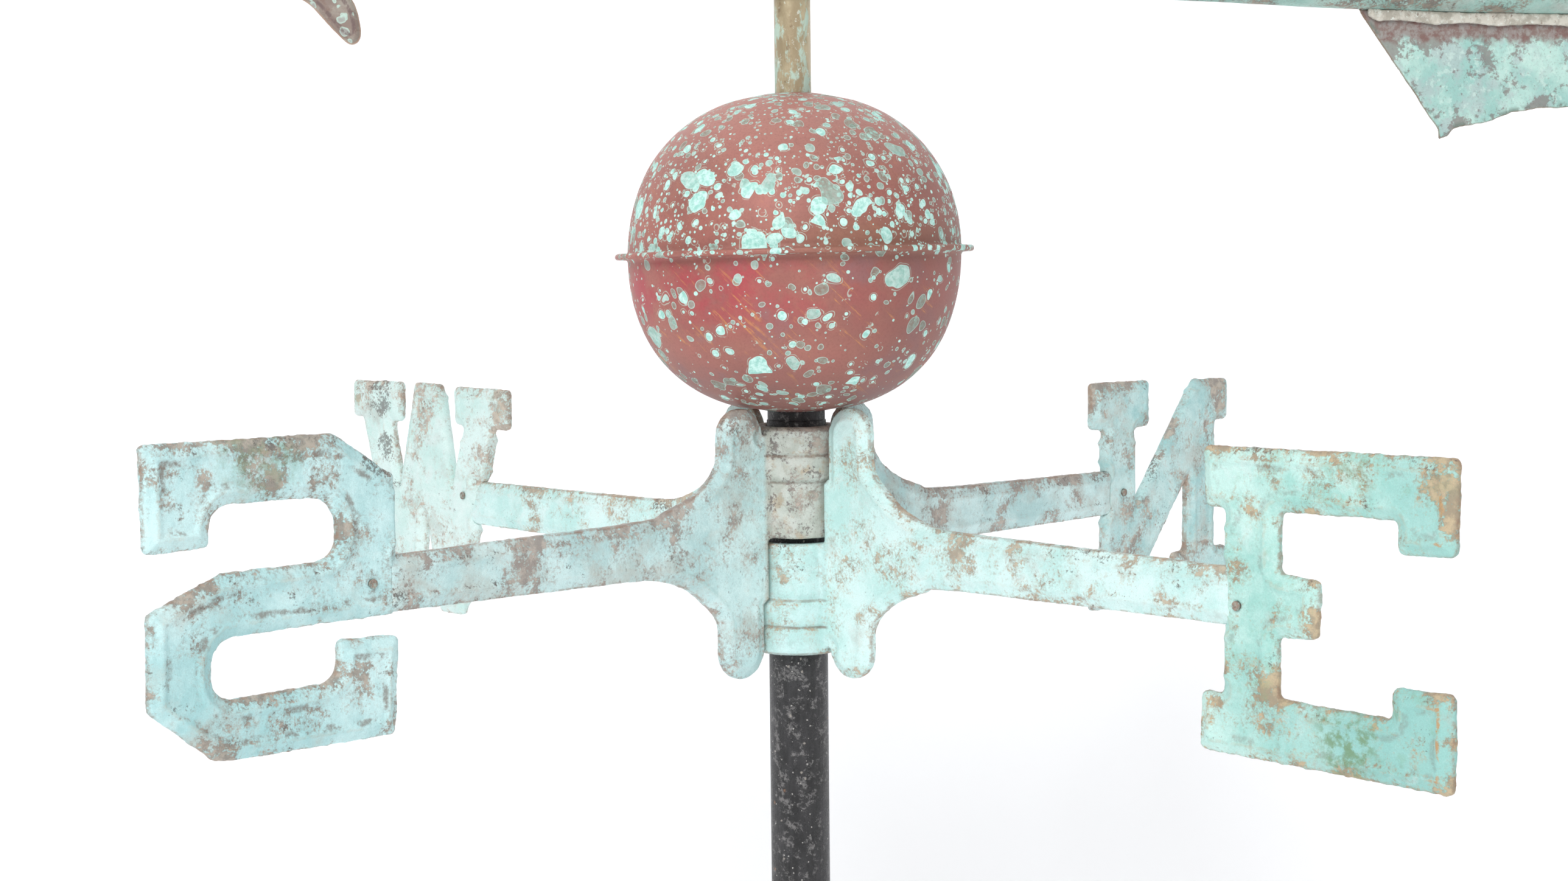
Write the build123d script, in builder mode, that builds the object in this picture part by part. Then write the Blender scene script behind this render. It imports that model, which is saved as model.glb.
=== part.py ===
"""Weather vane with compass arms, a copper globe and a free-turning arrow.

Frame: the origin is the centre of the mast's foot, +Z runs up the mast, +X is east and
+Y is north. All sizes are millimetres.

The mast, its plug and the fixed steel spindle carry everything. Two like arm castings, one
turned upside down under the other, are clamped to the mast with set screws; each is one
collar with two webs and two arms, and a letter is riveted to the end of each arm. The globe
is two spun copper halves joined by a rolled rim and sits on a dished washer on the mast's
top. A brass tube with two bushes turns on the spindle, hangs on one steel ball, and carries
the arrow.
"""

import os
from collections import namedtuple
from math import acos, cos, degrees, radians, sin

from build123d import *

os.makedirs("parts", exist_ok=True)

# ---------------------------------------------------------------- driving dimensions
HUB_Z = 480.0  # height of the gap between the two collars
MAST_R = 13.45  # 3/4 inch iron pipe, 26.9 mm outside
MAST_TOP = HUB_Z + 54.0
SPINDLE_R = 6.0
SPINDLE_TOP = HUB_Z + 232.0
TUBE_R = 8.15  # brass tube that turns on the spindle
TUBE_BORE_R = 6.9
TUBE_TOP = HUB_Z + 246.6
BALL_R = 4.0  # steel ball between the spindle and the tube's thrust plug
BALL_Z = SPINDLE_TOP + 1.5
GLOBE_Z = HUB_Z + 128.8
ARROW_Z = HUB_Z + 253.0
ARROW_ANGLE = 235.7  # direction of the arrow's point, counter-clockwise from east

IRON = (0.06, 0.06, 0.065)
STEEL = (0.55, 0.55, 0.56)
BRASS = (0.55, 0.45, 0.28)
PATINA = (0.45, 0.75, 0.70)
COPPER = (0.45, 0.20, 0.17)


def save_part(builder, name, color):
    """Label and colour a finished part and write its STEP file."""
    builder.part.label = name
    builder.part.color = Color(*color)
    export_step(builder.part, f"parts/{name}.step")


# ---------------------------------------------------------------- mast, plug, spindle
MAST_BORE_R = 10.45
PLUG_R = 10.75  # the bore is reamed to this at the top, so the plug sits on a shoulder
PLUG_H = 42.0
PLUG_BOTTOM = MAST_TOP - PLUG_H
PLUG_FIT = 0.01  # radial clearance of the plug in the reamed bore
SPINDLE_FIT = 0.02  # radial clearance of the spindle in the plug
SPINDLE_SEAT_R = BALL_R + 0.02

PIN_Z = MAST_TOP - 22.0
PIN_R = 2.0
PIN_HALF_LENGTH = 10.2
PIN_HOLE_R = 2.01
PIN_HOLE_REACH = 12  # the drill runs this far each side of the axis
PIN_DRILL_PLANE = Plane.YZ.offset(-PIN_HOLE_REACH)

with BuildPart() as mast_pipe:
    with BuildSketch(Plane.XY):
        Circle(MAST_R)
        Circle(MAST_BORE_R, mode=Mode.SUBTRACT)
    extrude(amount=MAST_TOP)
    with BuildSketch(Plane.XY.offset(PLUG_BOTTOM)):
        Circle(PLUG_R)
    extrude(amount=PLUG_H, mode=Mode.SUBTRACT)
    chamfer(mast_pipe.faces().sort_by(Axis.Z)[0].outer_wire().edges(), 1.0)
    chamfer(mast_pipe.faces().sort_by(Axis.Z)[-1].outer_wire().edges(), 0.6)
save_part(mast_pipe, "mast_pipe", IRON)

with BuildPart() as mast_plug:
    with BuildSketch(Plane.XY.offset(PLUG_BOTTOM)):
        Circle(PLUG_R - PLUG_FIT)
        Circle(SPINDLE_R + SPINDLE_FIT, mode=Mode.SUBTRACT)
    extrude(amount=PLUG_H)
    with BuildSketch(PIN_DRILL_PLANE):
        with Locations((0, PIN_Z)):
            Circle(PIN_HOLE_R)
    extrude(amount=2 * PIN_HOLE_REACH, mode=Mode.SUBTRACT)
save_part(mast_plug, "mast_plug", STEEL)

with BuildPart() as spindle_rod:
    with BuildSketch(Plane.XY.offset(PLUG_BOTTOM)):
        Circle(SPINDLE_R)
    extrude(amount=SPINDLE_TOP - PLUG_BOTTOM)
    chamfer(spindle_rod.faces().sort_by(Axis.Z)[0].edges(), 0.8)
    with BuildSketch(PIN_DRILL_PLANE):
        with Locations((0, PIN_Z)):
            Circle(PIN_HOLE_R)
    extrude(amount=2 * PIN_HOLE_REACH, mode=Mode.SUBTRACT)
    with Locations((0, 0, BALL_Z)):
        Sphere(SPINDLE_SEAT_R, mode=Mode.SUBTRACT)
save_part(spindle_rod, "spindle_rod", STEEL)

# cross pin through the plug and the spindle
with BuildPart() as spindle_pin:
    with BuildSketch(Plane.YZ.offset(-PIN_HALF_LENGTH)):
        with Locations((0, PIN_Z)):
            Circle(PIN_R)
    extrude(amount=2 * PIN_HALF_LENGTH)
    chamfer(spindle_pin.edges().filter_by(GeomType.CIRCLE), 0.4)
save_part(spindle_pin, "spindle_pin", STEEL)

# ---------------------------------------------------------------- the two arm castings
# A plate in the vertical plane through the mast's axis holds both webs and both arms. On
# one side of the gap it joins its collar; on the other the webs run on free, past the other
# collar. Heights below are from the hub, positive towards the casting's own collar.
COLLAR_BORE_R = 13.55
COLLAR_CUT_H = 70  # length of the cut that clears the collar's bore
BARREL_R = 19.2
BAND_R = 21.2
LIP_R = 21.7
COLLAR_GAP = 1.25  # half the gap between the two collars
COLLAR_TOP = 51.3
# half section of a collar: radius, height
COLLAR_PROFILE = [
    (COLLAR_BORE_R, COLLAR_GAP),
    (BARREL_R - 0.6, COLLAR_GAP),
    (BARREL_R, COLLAR_GAP + 0.6),
    (BARREL_R, 25.6),
    (BARREL_R + 0.5, 26.8),
    (BAND_R - 0.5, 27.6),
    (BAND_R, 28.3),
    (BAND_R, 37.7),
    (BAND_R - 0.6, 38.4),
    (BAND_R - 0.6, 38.9),
    (LIP_R, 39.9),
    (LIP_R, 49.8),
    (LIP_R - 1.2, COLLAR_TOP - 0.3),
    (LIP_R - 2.0, COLLAR_TOP),
    (COLLAR_BORE_R + 0.6, COLLAR_TOP),
    (COLLAR_BORE_R, COLLAR_TOP - 0.6),
    (COLLAR_BORE_R, COLLAR_GAP),
]

PLATE_T = 8.0  # thickness of webs, arms and letters
PLATE_TOP = 47.5  # height of the plate inside the collar
WEB_INNER = 23.2
WEB_OUTER = 48.0
WEB_MIDDLE = (WEB_INNER + WEB_OUTER) / 2
WEB_ROUND_Z = 48.1  # each web ends in a half circle centred at this height
WEB_END_Z = WEB_ROUND_Z + (WEB_OUTER - WEB_INNER) / 2
WEB_PASS_R = 20.4  # the free webs clear the other collar's barrel by this radius

ARM_OFF = 2.3  # the arms lie this far on their own collar's side
ARM_HALF = 11.2  # half height of an arm at its letter
ARM_START = 100.0  # the arms' straight edges begin here
ARM_START_OWN = 14.9  # edge height there, on the collar's side
ARM_START_FAR = -10.2  # edge height there, on the other side
EDGE_R = 2.2  # rounded edges of the arms
# curves between web and arm: distance from the axis, height
OWN_CURVE = [
    (WEB_OUTER, 41.0), (50.8, 33.3), (58.9, 26.2), (69.6, 20.9), (80.5, 17.4),
    (ARM_START, ARM_START_OWN),
]
FAR_CURVE = [
    (ARM_START, ARM_START_FAR), (85.0, -11.3), (74.6, -14.1), (63.3, -19.7),
    (53.8, -27.8), (WEB_OUTER, -40.0),
]

TENON_T = 3.0
TENON_H = 13.0
TENON_ROOT = 2.0  # how far a tenon's block starts inside its arm
NOSE = 2.8  # how far an arm's own section is let into its letter
RIVET_R = 1.5
RIVET_HOLE_R = 1.52
RIVET_HOLE_REACH = 6  # the drill runs this far each side of the plate's middle
RIVET_HEAD_R = 1.9
RIVET_HEAD_H = 0.35

SCREW_R = 3.0
SCREW_HOLE_R = 3.02
SCREW_LENGTH = 10.6
SCREW_START = MAST_R + 0.02
SCREW_Z = 33.0
SCREW_DIR = (-cos(radians(45)), sin(radians(45)), 0)
SCREW_DRILL_START = 10
SCREW_DRILL_LENGTH = 14
SOCKET_R = 1.6  # hexagon socket, across its corners / 2
SOCKET_DEPTH = 3.0
SOCKET_CUT = 3.2

# Joint between an arm and its letter. Side is the direction along the arms; the arm's ends
# are its reach at the edge on its own collar's side and at the other edge; the rivet is
# distance from the axis and true height above the hub.
Joint = namedtuple("Joint", "side own_end far_end tenon_end rivet")
NORTH = Joint(1, 216.0 + NOSE, 216.0 + NOSE, 236.5, (229.0, 2.0))
SOUTH = Joint(-1, 219.8 + NOSE, 219.8 + NOSE, 240.5, (232.3, 3.6))
EAST = Joint(1, 240.2 + NOSE, 240.2 + NOSE, 259.5, (247.5, -5.4))
WEST = Joint(-1, 243.0 + NOSE, 235.6 + NOSE, 259.0, (252.0, 1.0))


def rivet_place(joint):
    """A joint's rivet in the vertical plane of its arm."""
    distance, z = joint.rivet
    return (joint.side * distance, HUB_Z + z)


def draw_plate_side(joint, up):
    """Draw one side of the plate's outline; up is +1 when the casting's collar is its upper
    end and -1 when it is its lower end."""
    side = joint.side

    def at(distance, z):
        return (side * distance, HUB_Z + up * z)

    own_tip = at(joint.own_end, ARM_OFF + ARM_HALF)
    far_tip = at(joint.far_end, ARM_OFF - ARM_HALF)
    Line(at(0, PLATE_TOP), at(WEB_INNER, PLATE_TOP))
    Line(at(WEB_INNER, PLATE_TOP), at(WEB_INNER, WEB_ROUND_Z))
    ThreePointArc(
        at(WEB_INNER, WEB_ROUND_Z), at(WEB_MIDDLE, WEB_END_Z), at(WEB_OUTER, WEB_ROUND_Z)
    )
    Line(at(WEB_OUTER, WEB_ROUND_Z), at(*OWN_CURVE[0]))
    Spline(*[at(*point) for point in OWN_CURVE], tangents=[(0, -up), (side, -0.04 * up)])
    Line(at(*OWN_CURVE[-1]), own_tip)
    Line(own_tip, far_tip)
    Line(far_tip, at(*FAR_CURVE[0]))
    Spline(*[at(*point) for point in FAR_CURVE], tangents=[(-side, -0.03 * up), (0, -up)])
    Line(at(*FAR_CURVE[-1]), at(WEB_OUTER, -WEB_ROUND_Z))
    ThreePointArc(
        at(WEB_OUTER, -WEB_ROUND_Z), at(WEB_MIDDLE, -WEB_END_Z), at(WEB_INNER, -WEB_ROUND_Z)
    )
    Line(at(WEB_INNER, -WEB_ROUND_Z), at(WEB_INNER, -28.2))
    Line(at(WEB_INNER, -28.2), at(WEB_PASS_R, -26.2))
    Line(at(WEB_PASS_R, -26.2), at(WEB_PASS_R, COLLAR_GAP))
    Line(at(WEB_PASS_R, COLLAR_GAP), at(0, COLLAR_GAP))


def screw_plane(up, start):
    """A plane square to a set screw, at a distance from the mast's axis."""
    return Plane(
        origin=(SCREW_DIR[0] * start, SCREW_DIR[1] * start, HUB_Z + up * SCREW_Z),
        x_dir=(0, 0, 1),
        z_dir=SCREW_DIR,
    )


def soft_edges(part, normal, joints):
    """The edges of the plate's two faces, leaving out the arms' cut ends and the short
    edges that the collar swallows."""
    limit = min(joint.far_end for joint in joints) - 1.0
    picked = []
    for face in part.faces().filter_by(normal):
        for edge in face.edges():
            middle = edge @ 0.5
            reach = max(abs(middle.X), abs(middle.Y))
            in_collar = reach < 20.0 and abs(middle.Z - HUB_Z) < 49.0
            if reach < limit and not in_collar:
                picked.append(edge)
    return picked


def build_casting(plane, normal, up, joints):
    """One collar with its webs, arms and tenons; plane is the plate's middle plane."""
    with BuildPart() as casting:
        with BuildSketch(plane):
            with BuildLine():
                for joint in joints:
                    draw_plate_side(joint, up)
            make_face()
        extrude(amount=PLATE_T / 2, both=True)
        fillet(soft_edges(casting, normal, joints), EDGE_R)
        with BuildSketch(Plane.XZ):
            with BuildLine():
                Polyline(*[(r, HUB_Z + up * z) for r, z in COLLAR_PROFILE])
            make_face()
        revolve(axis=Axis.Z)
        with BuildSketch(Plane.XY.offset(HUB_Z + min(0, up * COLLAR_CUT_H))):
            Circle(COLLAR_BORE_R)
        extrude(amount=COLLAR_CUT_H, mode=Mode.SUBTRACT)
        with BuildSketch(plane):
            for joint in joints:
                middle = (joint.far_end + joint.tenon_end - TENON_ROOT) / 2
                with Locations((joint.side * middle, HUB_Z + up * ARM_OFF)):
                    Rectangle(joint.tenon_end - joint.far_end + TENON_ROOT, TENON_H)
        extrude(amount=TENON_T / 2, both=True)
        with BuildSketch(plane):
            with Locations(*[rivet_place(joint) for joint in joints]):
                Circle(RIVET_HOLE_R)
        extrude(amount=RIVET_HOLE_REACH, both=True, mode=Mode.SUBTRACT)
        with BuildSketch(screw_plane(up, SCREW_DRILL_START)):
            Circle(SCREW_HOLE_R)
        extrude(amount=SCREW_DRILL_LENGTH, mode=Mode.SUBTRACT)
    return casting


north_south_arms = build_casting(Plane.YZ, Axis.X, 1, (NORTH, SOUTH))
save_part(north_south_arms, "north_south_arms", PATINA)
east_west_arms = build_casting(Plane.XZ, Axis.Y, -1, (EAST, WEST))
save_part(east_west_arms, "east_west_arms", PATINA)

with BuildPart() as collar_set_screws:
    for up in (1, -1):
        with BuildSketch(screw_plane(up, SCREW_START)):
            Circle(SCREW_R)
        extrude(amount=SCREW_LENGTH)
        with BuildSketch(screw_plane(up, SCREW_START + SCREW_LENGTH - SOCKET_DEPTH)):
            RegularPolygon(SOCKET_R, 6)
        extrude(amount=SOCKET_CUT, mode=Mode.SUBTRACT)
save_part(collar_set_screws, "collar_set_screws", STEEL)

# ---------------------------------------------------------------- the four letters
BEVEL = (2.2, 1.5)  # the two legs of the letters' bevelled borders
CORNER = 2.6  # radius of the letters' small corners

# outlines: distance from the mast's axis, height above the hub
LETTER_N = [
    (205.8, 59.4), (252.3, 58.8), (252.3, 35.0), (240.5, 34.6), (240.3, -7.0),
    (291.2, 57.2), (319.2, 56.8), (319.2, 34.6), (308.3, 34.6), (308.3, -33.8),
    (319.2, -33.8), (319.2, -57.0), (273.2, -57.2), (273.2, -33.8), (284.0, -33.8),
    (284.0, 5.2), (234.0, -57.6), (205.8, -57.8), (205.8, -34.6), (216.0, -34.6),
    (216.0, 35.0), (205.8, 35.4),
]
LETTER_E = [
    (229.8, 55.2), (341.5, 56.8), (341.2, 20.8), (316.9, 20.4), (316.9, 32.6),
    (265.3, 32.0), (265.1, 8.3), (283.1, 7.2), (282.8, -15.0), (264.9, -16.1),
    (264.9, -39.6), (315.1, -40.6), (315.1, -28.8), (341.0, -28.4), (341.0, -65.2),
    (228.6, -63.9), (229.4, -40.4), (240.2, -40.6), (240.2, 31.7), (230.8, 31.3),
]
LETTER_S = [
    (329.8, 64.4), (247.3, 63.4), (219.8, 45.2), (219.8, -9.8), (303.0, -10.5),
    (303.0, -34.2), (247.4, -33.4), (247.4, -17.0), (218.8, -18.6), (221.4, -58.0),
    (297.2, -57.3), (303.2, -55.9), (329.5, -34.6), (328.8, 1.8), (297.3, 13.8),
    (246.4, 14.3), (246.4, 39.0), (302.5, 39.9), (302.2, 24.2), (329.2, 23.7),
]
LETTER_W = [
    (214.3, 58.2), (260.7, 58.0), (260.7, 38.0), (252.2, 38.0), (263.2, 5.5),
    (273.2, 58.7), (296.6, 59.0), (311.6, 5.5), (319.2, 37.0), (310.3, 37.0),
    (309.5, 58.8), (355.4, 57.8), (355.6, 38.0), (346.5, 38.2), (314.8, -63.6),
    (296.0, -63.6), (288.3, -12.4), (277.8, -63.6), (257.4, -63.6), (227.7, 37.1),
    (214.6, 37.1),
]
# rounded counters of the S: corner and radius
S_ROUNDS = [
    ((303.0, -10.5), 10.5), ((303.0, -34.2), 9.0), ((247.4, -33.4), 8.0),
    ((246.4, 14.3), 10.0), ((246.4, 39.0), 12.0), ((302.5, 39.9), 9.0),
]
# corners of the N and the W that stay sharp
SHARP = [(240.3, -7.0), (284.0, 5.2), (263.2, 5.5), (311.6, 5.5), (288.3, -12.4)]


def corners_at(vertices, spots, side):
    """The sketch vertices that stand at the given outline points."""
    return [
        vertex
        for vertex in vertices
        for distance, z in spots
        if abs(vertex.X - side * distance) < 0.05 and abs(vertex.Y - HUB_Z - z) < 0.05
    ]


def build_letter(plane, normal, joint, points, rounds, casting):
    """A bevelled letter with the socket that its casting's arm and tenon fill."""
    side = joint.side
    big = [spot for spot, _ in rounds]
    small = [point for point in points if point not in big and point not in SHARP]
    with BuildPart() as letter:
        with BuildSketch(plane) as outline:
            Polygon(*[(side * distance, HUB_Z + z) for distance, z in points], align=None)
            for spot, radius in rounds:
                fillet(corners_at(outline.vertices(), [spot], side), radius)
            fillet(corners_at(outline.vertices(), small, side), CORNER)
        extrude(amount=PLATE_T / 2, both=True)
        rims = [edge for face in letter.faces().filter_by(normal) for edge in face.edges()]
        chamfer(rims, *BEVEL)
        add(casting.part, mode=Mode.SUBTRACT)
        with BuildSketch(plane):
            with Locations(rivet_place(joint)):
                Circle(RIVET_HOLE_R)
        extrude(amount=RIVET_HOLE_REACH, both=True, mode=Mode.SUBTRACT)
    return letter


for name, plane, normal, joint, points, rounds, casting in (
    ("letter_n", Plane.YZ, Axis.X, NORTH, LETTER_N, [], north_south_arms),
    ("letter_s", Plane.YZ, Axis.X, SOUTH, LETTER_S, S_ROUNDS, north_south_arms),
    ("letter_e", Plane.XZ, Axis.Y, EAST, LETTER_E, [], east_west_arms),
    ("letter_w", Plane.XZ, Axis.Y, WEST, LETTER_W, [], east_west_arms),
):
    letter = build_letter(plane, normal, joint, points, rounds, casting)
    save_part(letter, name, PATINA)

with BuildPart() as letter_rivets:
    for plane, joint in (
        (Plane.YZ, NORTH), (Plane.YZ, SOUTH), (Plane.XZ, EAST), (Plane.XZ, WEST),
    ):
        with BuildSketch(plane):
            with Locations(rivet_place(joint)):
                Circle(RIVET_R)
        extrude(amount=PLATE_T / 2, both=True)
        for head_start in (PLATE_T / 2, -PLATE_T / 2 - RIVET_HEAD_H):
            with BuildSketch(plane.offset(head_start)):
                with Locations(rivet_place(joint)):
                    Circle(RIVET_HEAD_R)
            extrude(amount=RIVET_HEAD_H)
save_part(letter_rivets, "letter_rivets", COPPER)

# ---------------------------------------------------------------- the globe
# Both halves are spun from one sheet thickness. The lower half's flange is rolled over the
# upper half's flange all the way round.
GLOBE_R = 75.0
GLOBE_HALF_H = 72.0
GLOBE_T = 0.9
RIM_R = 80.6
FLANGE_ROOT = 1.6  # the flange's outer face meets the shell over this width
SHELL_STEPS = 12
OUTER_START, INNER_START = 1.6, 0.05  # degrees from the equator where the curves begin
GLOBE_PLANE = Plane.XZ.shift_origin((0, 0, GLOBE_Z))
# flange outlines from the joint face outwards and back: radius, height above the equator
UPPER_FLANGE = [(79.55, 0.03), (79.55, 0.9)]
LOWER_FLANGE = [
    (79.6, 0.0), (79.6, 0.93), (77.4, 0.93), (77.4, 1.7), (80.2, 1.7), (RIM_R, 1.2),
    (RIM_R, -0.5), (80.2, -0.95),
]


def shell_curve(up, inset, start, pole_r):
    """Points of an ellipse from near the equator to the pole hole."""
    radius, height = GLOBE_R - inset, GLOBE_HALF_H - inset
    end = degrees(acos(pole_r / radius))
    angles = [radians(start + (end - start) * i / SHELL_STEPS) for i in range(SHELL_STEPS + 1)]
    return [(radius * cos(angle), up * height * sin(angle)) for angle in angles]


def build_half(up, pole_r, flange):
    """One spun half; up is +1 for the upper half and -1 for the lower."""
    outer = shell_curve(up, 0, OUTER_START, pole_r)
    inner = shell_curve(up, GLOBE_T, INNER_START, pole_r)
    with BuildPart() as half:
        with BuildSketch(GLOBE_PLANE):
            with BuildLine():
                Spline(*outer)
                Line(outer[-1], inner[-1])
                Spline(*inner)
                Polyline(
                    inner[0],
                    (inner[0][0], flange[0][1]),
                    *flange,
                    (outer[0][0] + FLANGE_ROOT, flange[-1][1]),
                    outer[0],
                )
            make_face()
        revolve(axis=Axis.Z)
    return half


save_part(build_half(1, TUBE_R + 0.45, UPPER_FLANGE), "globe_upper_half", COPPER)
save_part(build_half(-1, SPINDLE_R + 0.25, LOWER_FLANGE), "globe_lower_half", COPPER)

# dished washer between the mast's top and the globe's underside
WASHER_R = 13.0
WASHER_H = 5.0
DISH_GAP = 0.02
DISH_FLOOR = -50  # height from the globe's centre where the cutter for the dish closes
dish_curve = [
    (
        (GLOBE_R + DISH_GAP) * cos(radians(angle)),
        -(GLOBE_HALF_H + DISH_GAP) * sin(radians(angle)),
    )
    for angle in range(74, 91, 2)
]
with BuildPart() as globe_washer:
    with BuildSketch(Plane.XY.offset(MAST_TOP)):
        Circle(WASHER_R)
        Circle(SPINDLE_R + 0.25, mode=Mode.SUBTRACT)
    extrude(amount=WASHER_H)
    with BuildSketch(GLOBE_PLANE):
        with BuildLine():
            Spline(*dish_curve)
            Line(dish_curve[-1], (0, DISH_FLOOR))
            Line((0, DISH_FLOOR), (dish_curve[0][0], DISH_FLOOR))
            Line((dish_curve[0][0], DISH_FLOOR), dish_curve[0])
        make_face()
    revolve(axis=Axis.Z, mode=Mode.SUBTRACT)
save_part(globe_washer, "globe_washer", BRASS)

# ---------------------------------------------------------------- the turning tube
TUBE_BOTTOM = HUB_Z + 70.0
INSERT_R = TUBE_BORE_R - 0.01  # bushes and thrust plug inside the tube
BUSH_BORE_R = SPINDLE_R + 0.06  # with running clearance on the spindle
BUSH_FLANGE_H = 1.5
LOWER_BUSH_H = 14
UPPER_BUSH_BOTTOM = SPINDLE_TOP - 24
UPPER_BUSH_H = 20
THRUST_BOTTOM = SPINDLE_TOP + 3.0
THRUST_SEAT_R = BALL_R + 0.03

with BuildPart() as vane_tube:
    with BuildSketch(Plane.XY.offset(TUBE_BOTTOM)):
        Circle(TUBE_R)
        Circle(TUBE_BORE_R, mode=Mode.SUBTRACT)
    extrude(amount=TUBE_TOP - TUBE_BOTTOM)
save_part(vane_tube, "vane_tube", BRASS)

with BuildPart() as lower_bush:
    with BuildSketch(Plane.XY.offset(TUBE_BOTTOM - BUSH_FLANGE_H)):
        Circle(TUBE_R)
    extrude(amount=BUSH_FLANGE_H)
    with BuildSketch(Plane.XY.offset(TUBE_BOTTOM)):
        Circle(INSERT_R)
    extrude(amount=LOWER_BUSH_H)
    with BuildSketch(Plane.XY.offset(TUBE_BOTTOM - 2)):
        Circle(BUSH_BORE_R)
    extrude(amount=LOWER_BUSH_H + 4, mode=Mode.SUBTRACT)
save_part(lower_bush, "lower_bush", BRASS)

with BuildPart() as upper_bush:
    with BuildSketch(Plane.XY.offset(UPPER_BUSH_BOTTOM)):
        Circle(INSERT_R)
        Circle(BUSH_BORE_R, mode=Mode.SUBTRACT)
    extrude(amount=UPPER_BUSH_H)
save_part(upper_bush, "upper_bush", BRASS)

with BuildPart() as pivot_ball:
    with Locations((0, 0, BALL_Z)):
        Sphere(BALL_R)
save_part(pivot_ball, "pivot_ball", STEEL)

with BuildPart() as thrust_plug:
    with BuildSketch(Plane.XY.offset(THRUST_BOTTOM)):
        Circle(INSERT_R)
    extrude(amount=TUBE_TOP - THRUST_BOTTOM)
    with Locations((0, 0, BALL_Z)):
        Sphere(THRUST_SEAT_R, mode=Mode.SUBTRACT)
save_part(thrust_plug, "thrust_plug", BRASS)

# ---------------------------------------------------------------- the arrow
# The arrow is drawn in its own vertical plane: x runs along the shaft towards the point,
# y is up and the plane's normal is level, to the right when looking towards the point.
HEADING_X = cos(radians(ARROW_ANGLE))
HEADING_Y = sin(radians(ARROW_ANGLE))
ALONG = (HEADING_X, HEADING_Y, 0)
ACROSS = (HEADING_Y, -HEADING_X, 0)
ARROW = Plane(origin=(0, 0, ARROW_Z), x_dir=ALONG, z_dir=ACROSS)
ARROW_AXIS = Axis((0, 0, ARROW_Z), ALONG)

# the shaft's outside: place along the arrow, radius
SHAFT = [
    (200.0, 4.9), (150.0, 5.2), (100.0, 5.5), (50.0, 5.8), (0.0, 6.2),
    (-60.0, 7.1), (-120.0, 8.7), (-182.0, 11.0), (-230.0, 13.2), (-262.0, 14.6),
    (-310.0, 16.2), (-360.0, 17.0), (-405.0, 16.4), (-430.0, 15.4),
]
FRONT_X, FRONT_R = SHAFT[0]
TAIL_X, TAIL_R = SHAFT[-1]
SHAFT_WALL = 1.0


def cross_plane(x):
    """A plane square to the shaft, at a place along the arrow."""
    return Plane(origin=(HEADING_X * x, HEADING_Y * x, ARROW_Z), x_dir=ACROSS, z_dir=ALONG)


# the shaft's full round form, cut from the parts that fit round it
with BuildPart() as shaft_form:
    with BuildSketch(ARROW):
        with BuildLine():
            Spline(*SHAFT)
            Line((TAIL_X, TAIL_R), (TAIL_X, 0))
            Line((TAIL_X, 0), (FRONT_X, 0))
            Line((FRONT_X, 0), (FRONT_X, FRONT_R))
        make_face()
    revolve(axis=ARROW_AXIS)

with BuildPart() as arrow_shaft:
    with BuildSketch(ARROW):
        with BuildLine():
            Spline(*SHAFT)
            Line((TAIL_X, TAIL_R), (TAIL_X, TAIL_R - SHAFT_WALL))
            Spline(*[(x, r - SHAFT_WALL) for x, r in reversed(SHAFT)])
            Line((FRONT_X, FRONT_R - SHAFT_WALL), (FRONT_X, FRONT_R))
        make_face()
    revolve(axis=ARROW_AXIS)
save_part(arrow_shaft, "arrow_shaft", COPPER)

# domed hollow cap that closes the shaft's tail: its rim butts the shaft's end and its spigot
# sits inside; tables are place along the arrow, radius
CAP_RIM = [(-420.0, 13.1), (-420.0, 14.2), (-430.02, 14.2), (-430.02, 15.3), (-432.0, 15.2)]
CAP_OUTSIDE = [(-432.0, 15.2), (-438.0, 13.6), (-443.0, 9.8), (-445.8, 5.0), (-446.6, 0)]
CAP_INSIDE = [(-445.4, 0), (-444.6, 4.7), (-442.0, 9.0), (-437.3, 12.4), (-431.0, 13.1)]
with BuildPart() as shaft_tail_cap:
    with BuildSketch(ARROW):
        with BuildLine():
            Polyline(*CAP_RIM)
            Spline(*CAP_OUTSIDE, tangents=[(-1, -0.1), (0, -1)])
            Line(CAP_OUTSIDE[-1], CAP_INSIDE[0])
            Spline(*CAP_INSIDE, tangents=[(0, 1), (1, 0.0)])
            Line(CAP_INSIDE[-1], CAP_RIM[0])
        make_face()
    revolve(axis=ARROW_AXIS)
save_part(shaft_tail_cap, "shaft_tail_cap", COPPER)

# saddle: a socket over the tube's top and a sleeve round the shaft
SOCKET_OUTER_R = 11.5
SOCKET_BOTTOM = HUB_Z + 243.5
SOCKET_H = 9.5
SOCKET_CUT_BOTTOM = HUB_Z + 240
SADDLE_FIT = 0.02  # clearance round and above the tube
BOSS_R = 5.5  # round boss on top of the sleeve
BOSS_BOTTOM = ARROW_Z + 6.6
BOSS_H = 5.2
STUD_HOLE_R = 2.02
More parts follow.
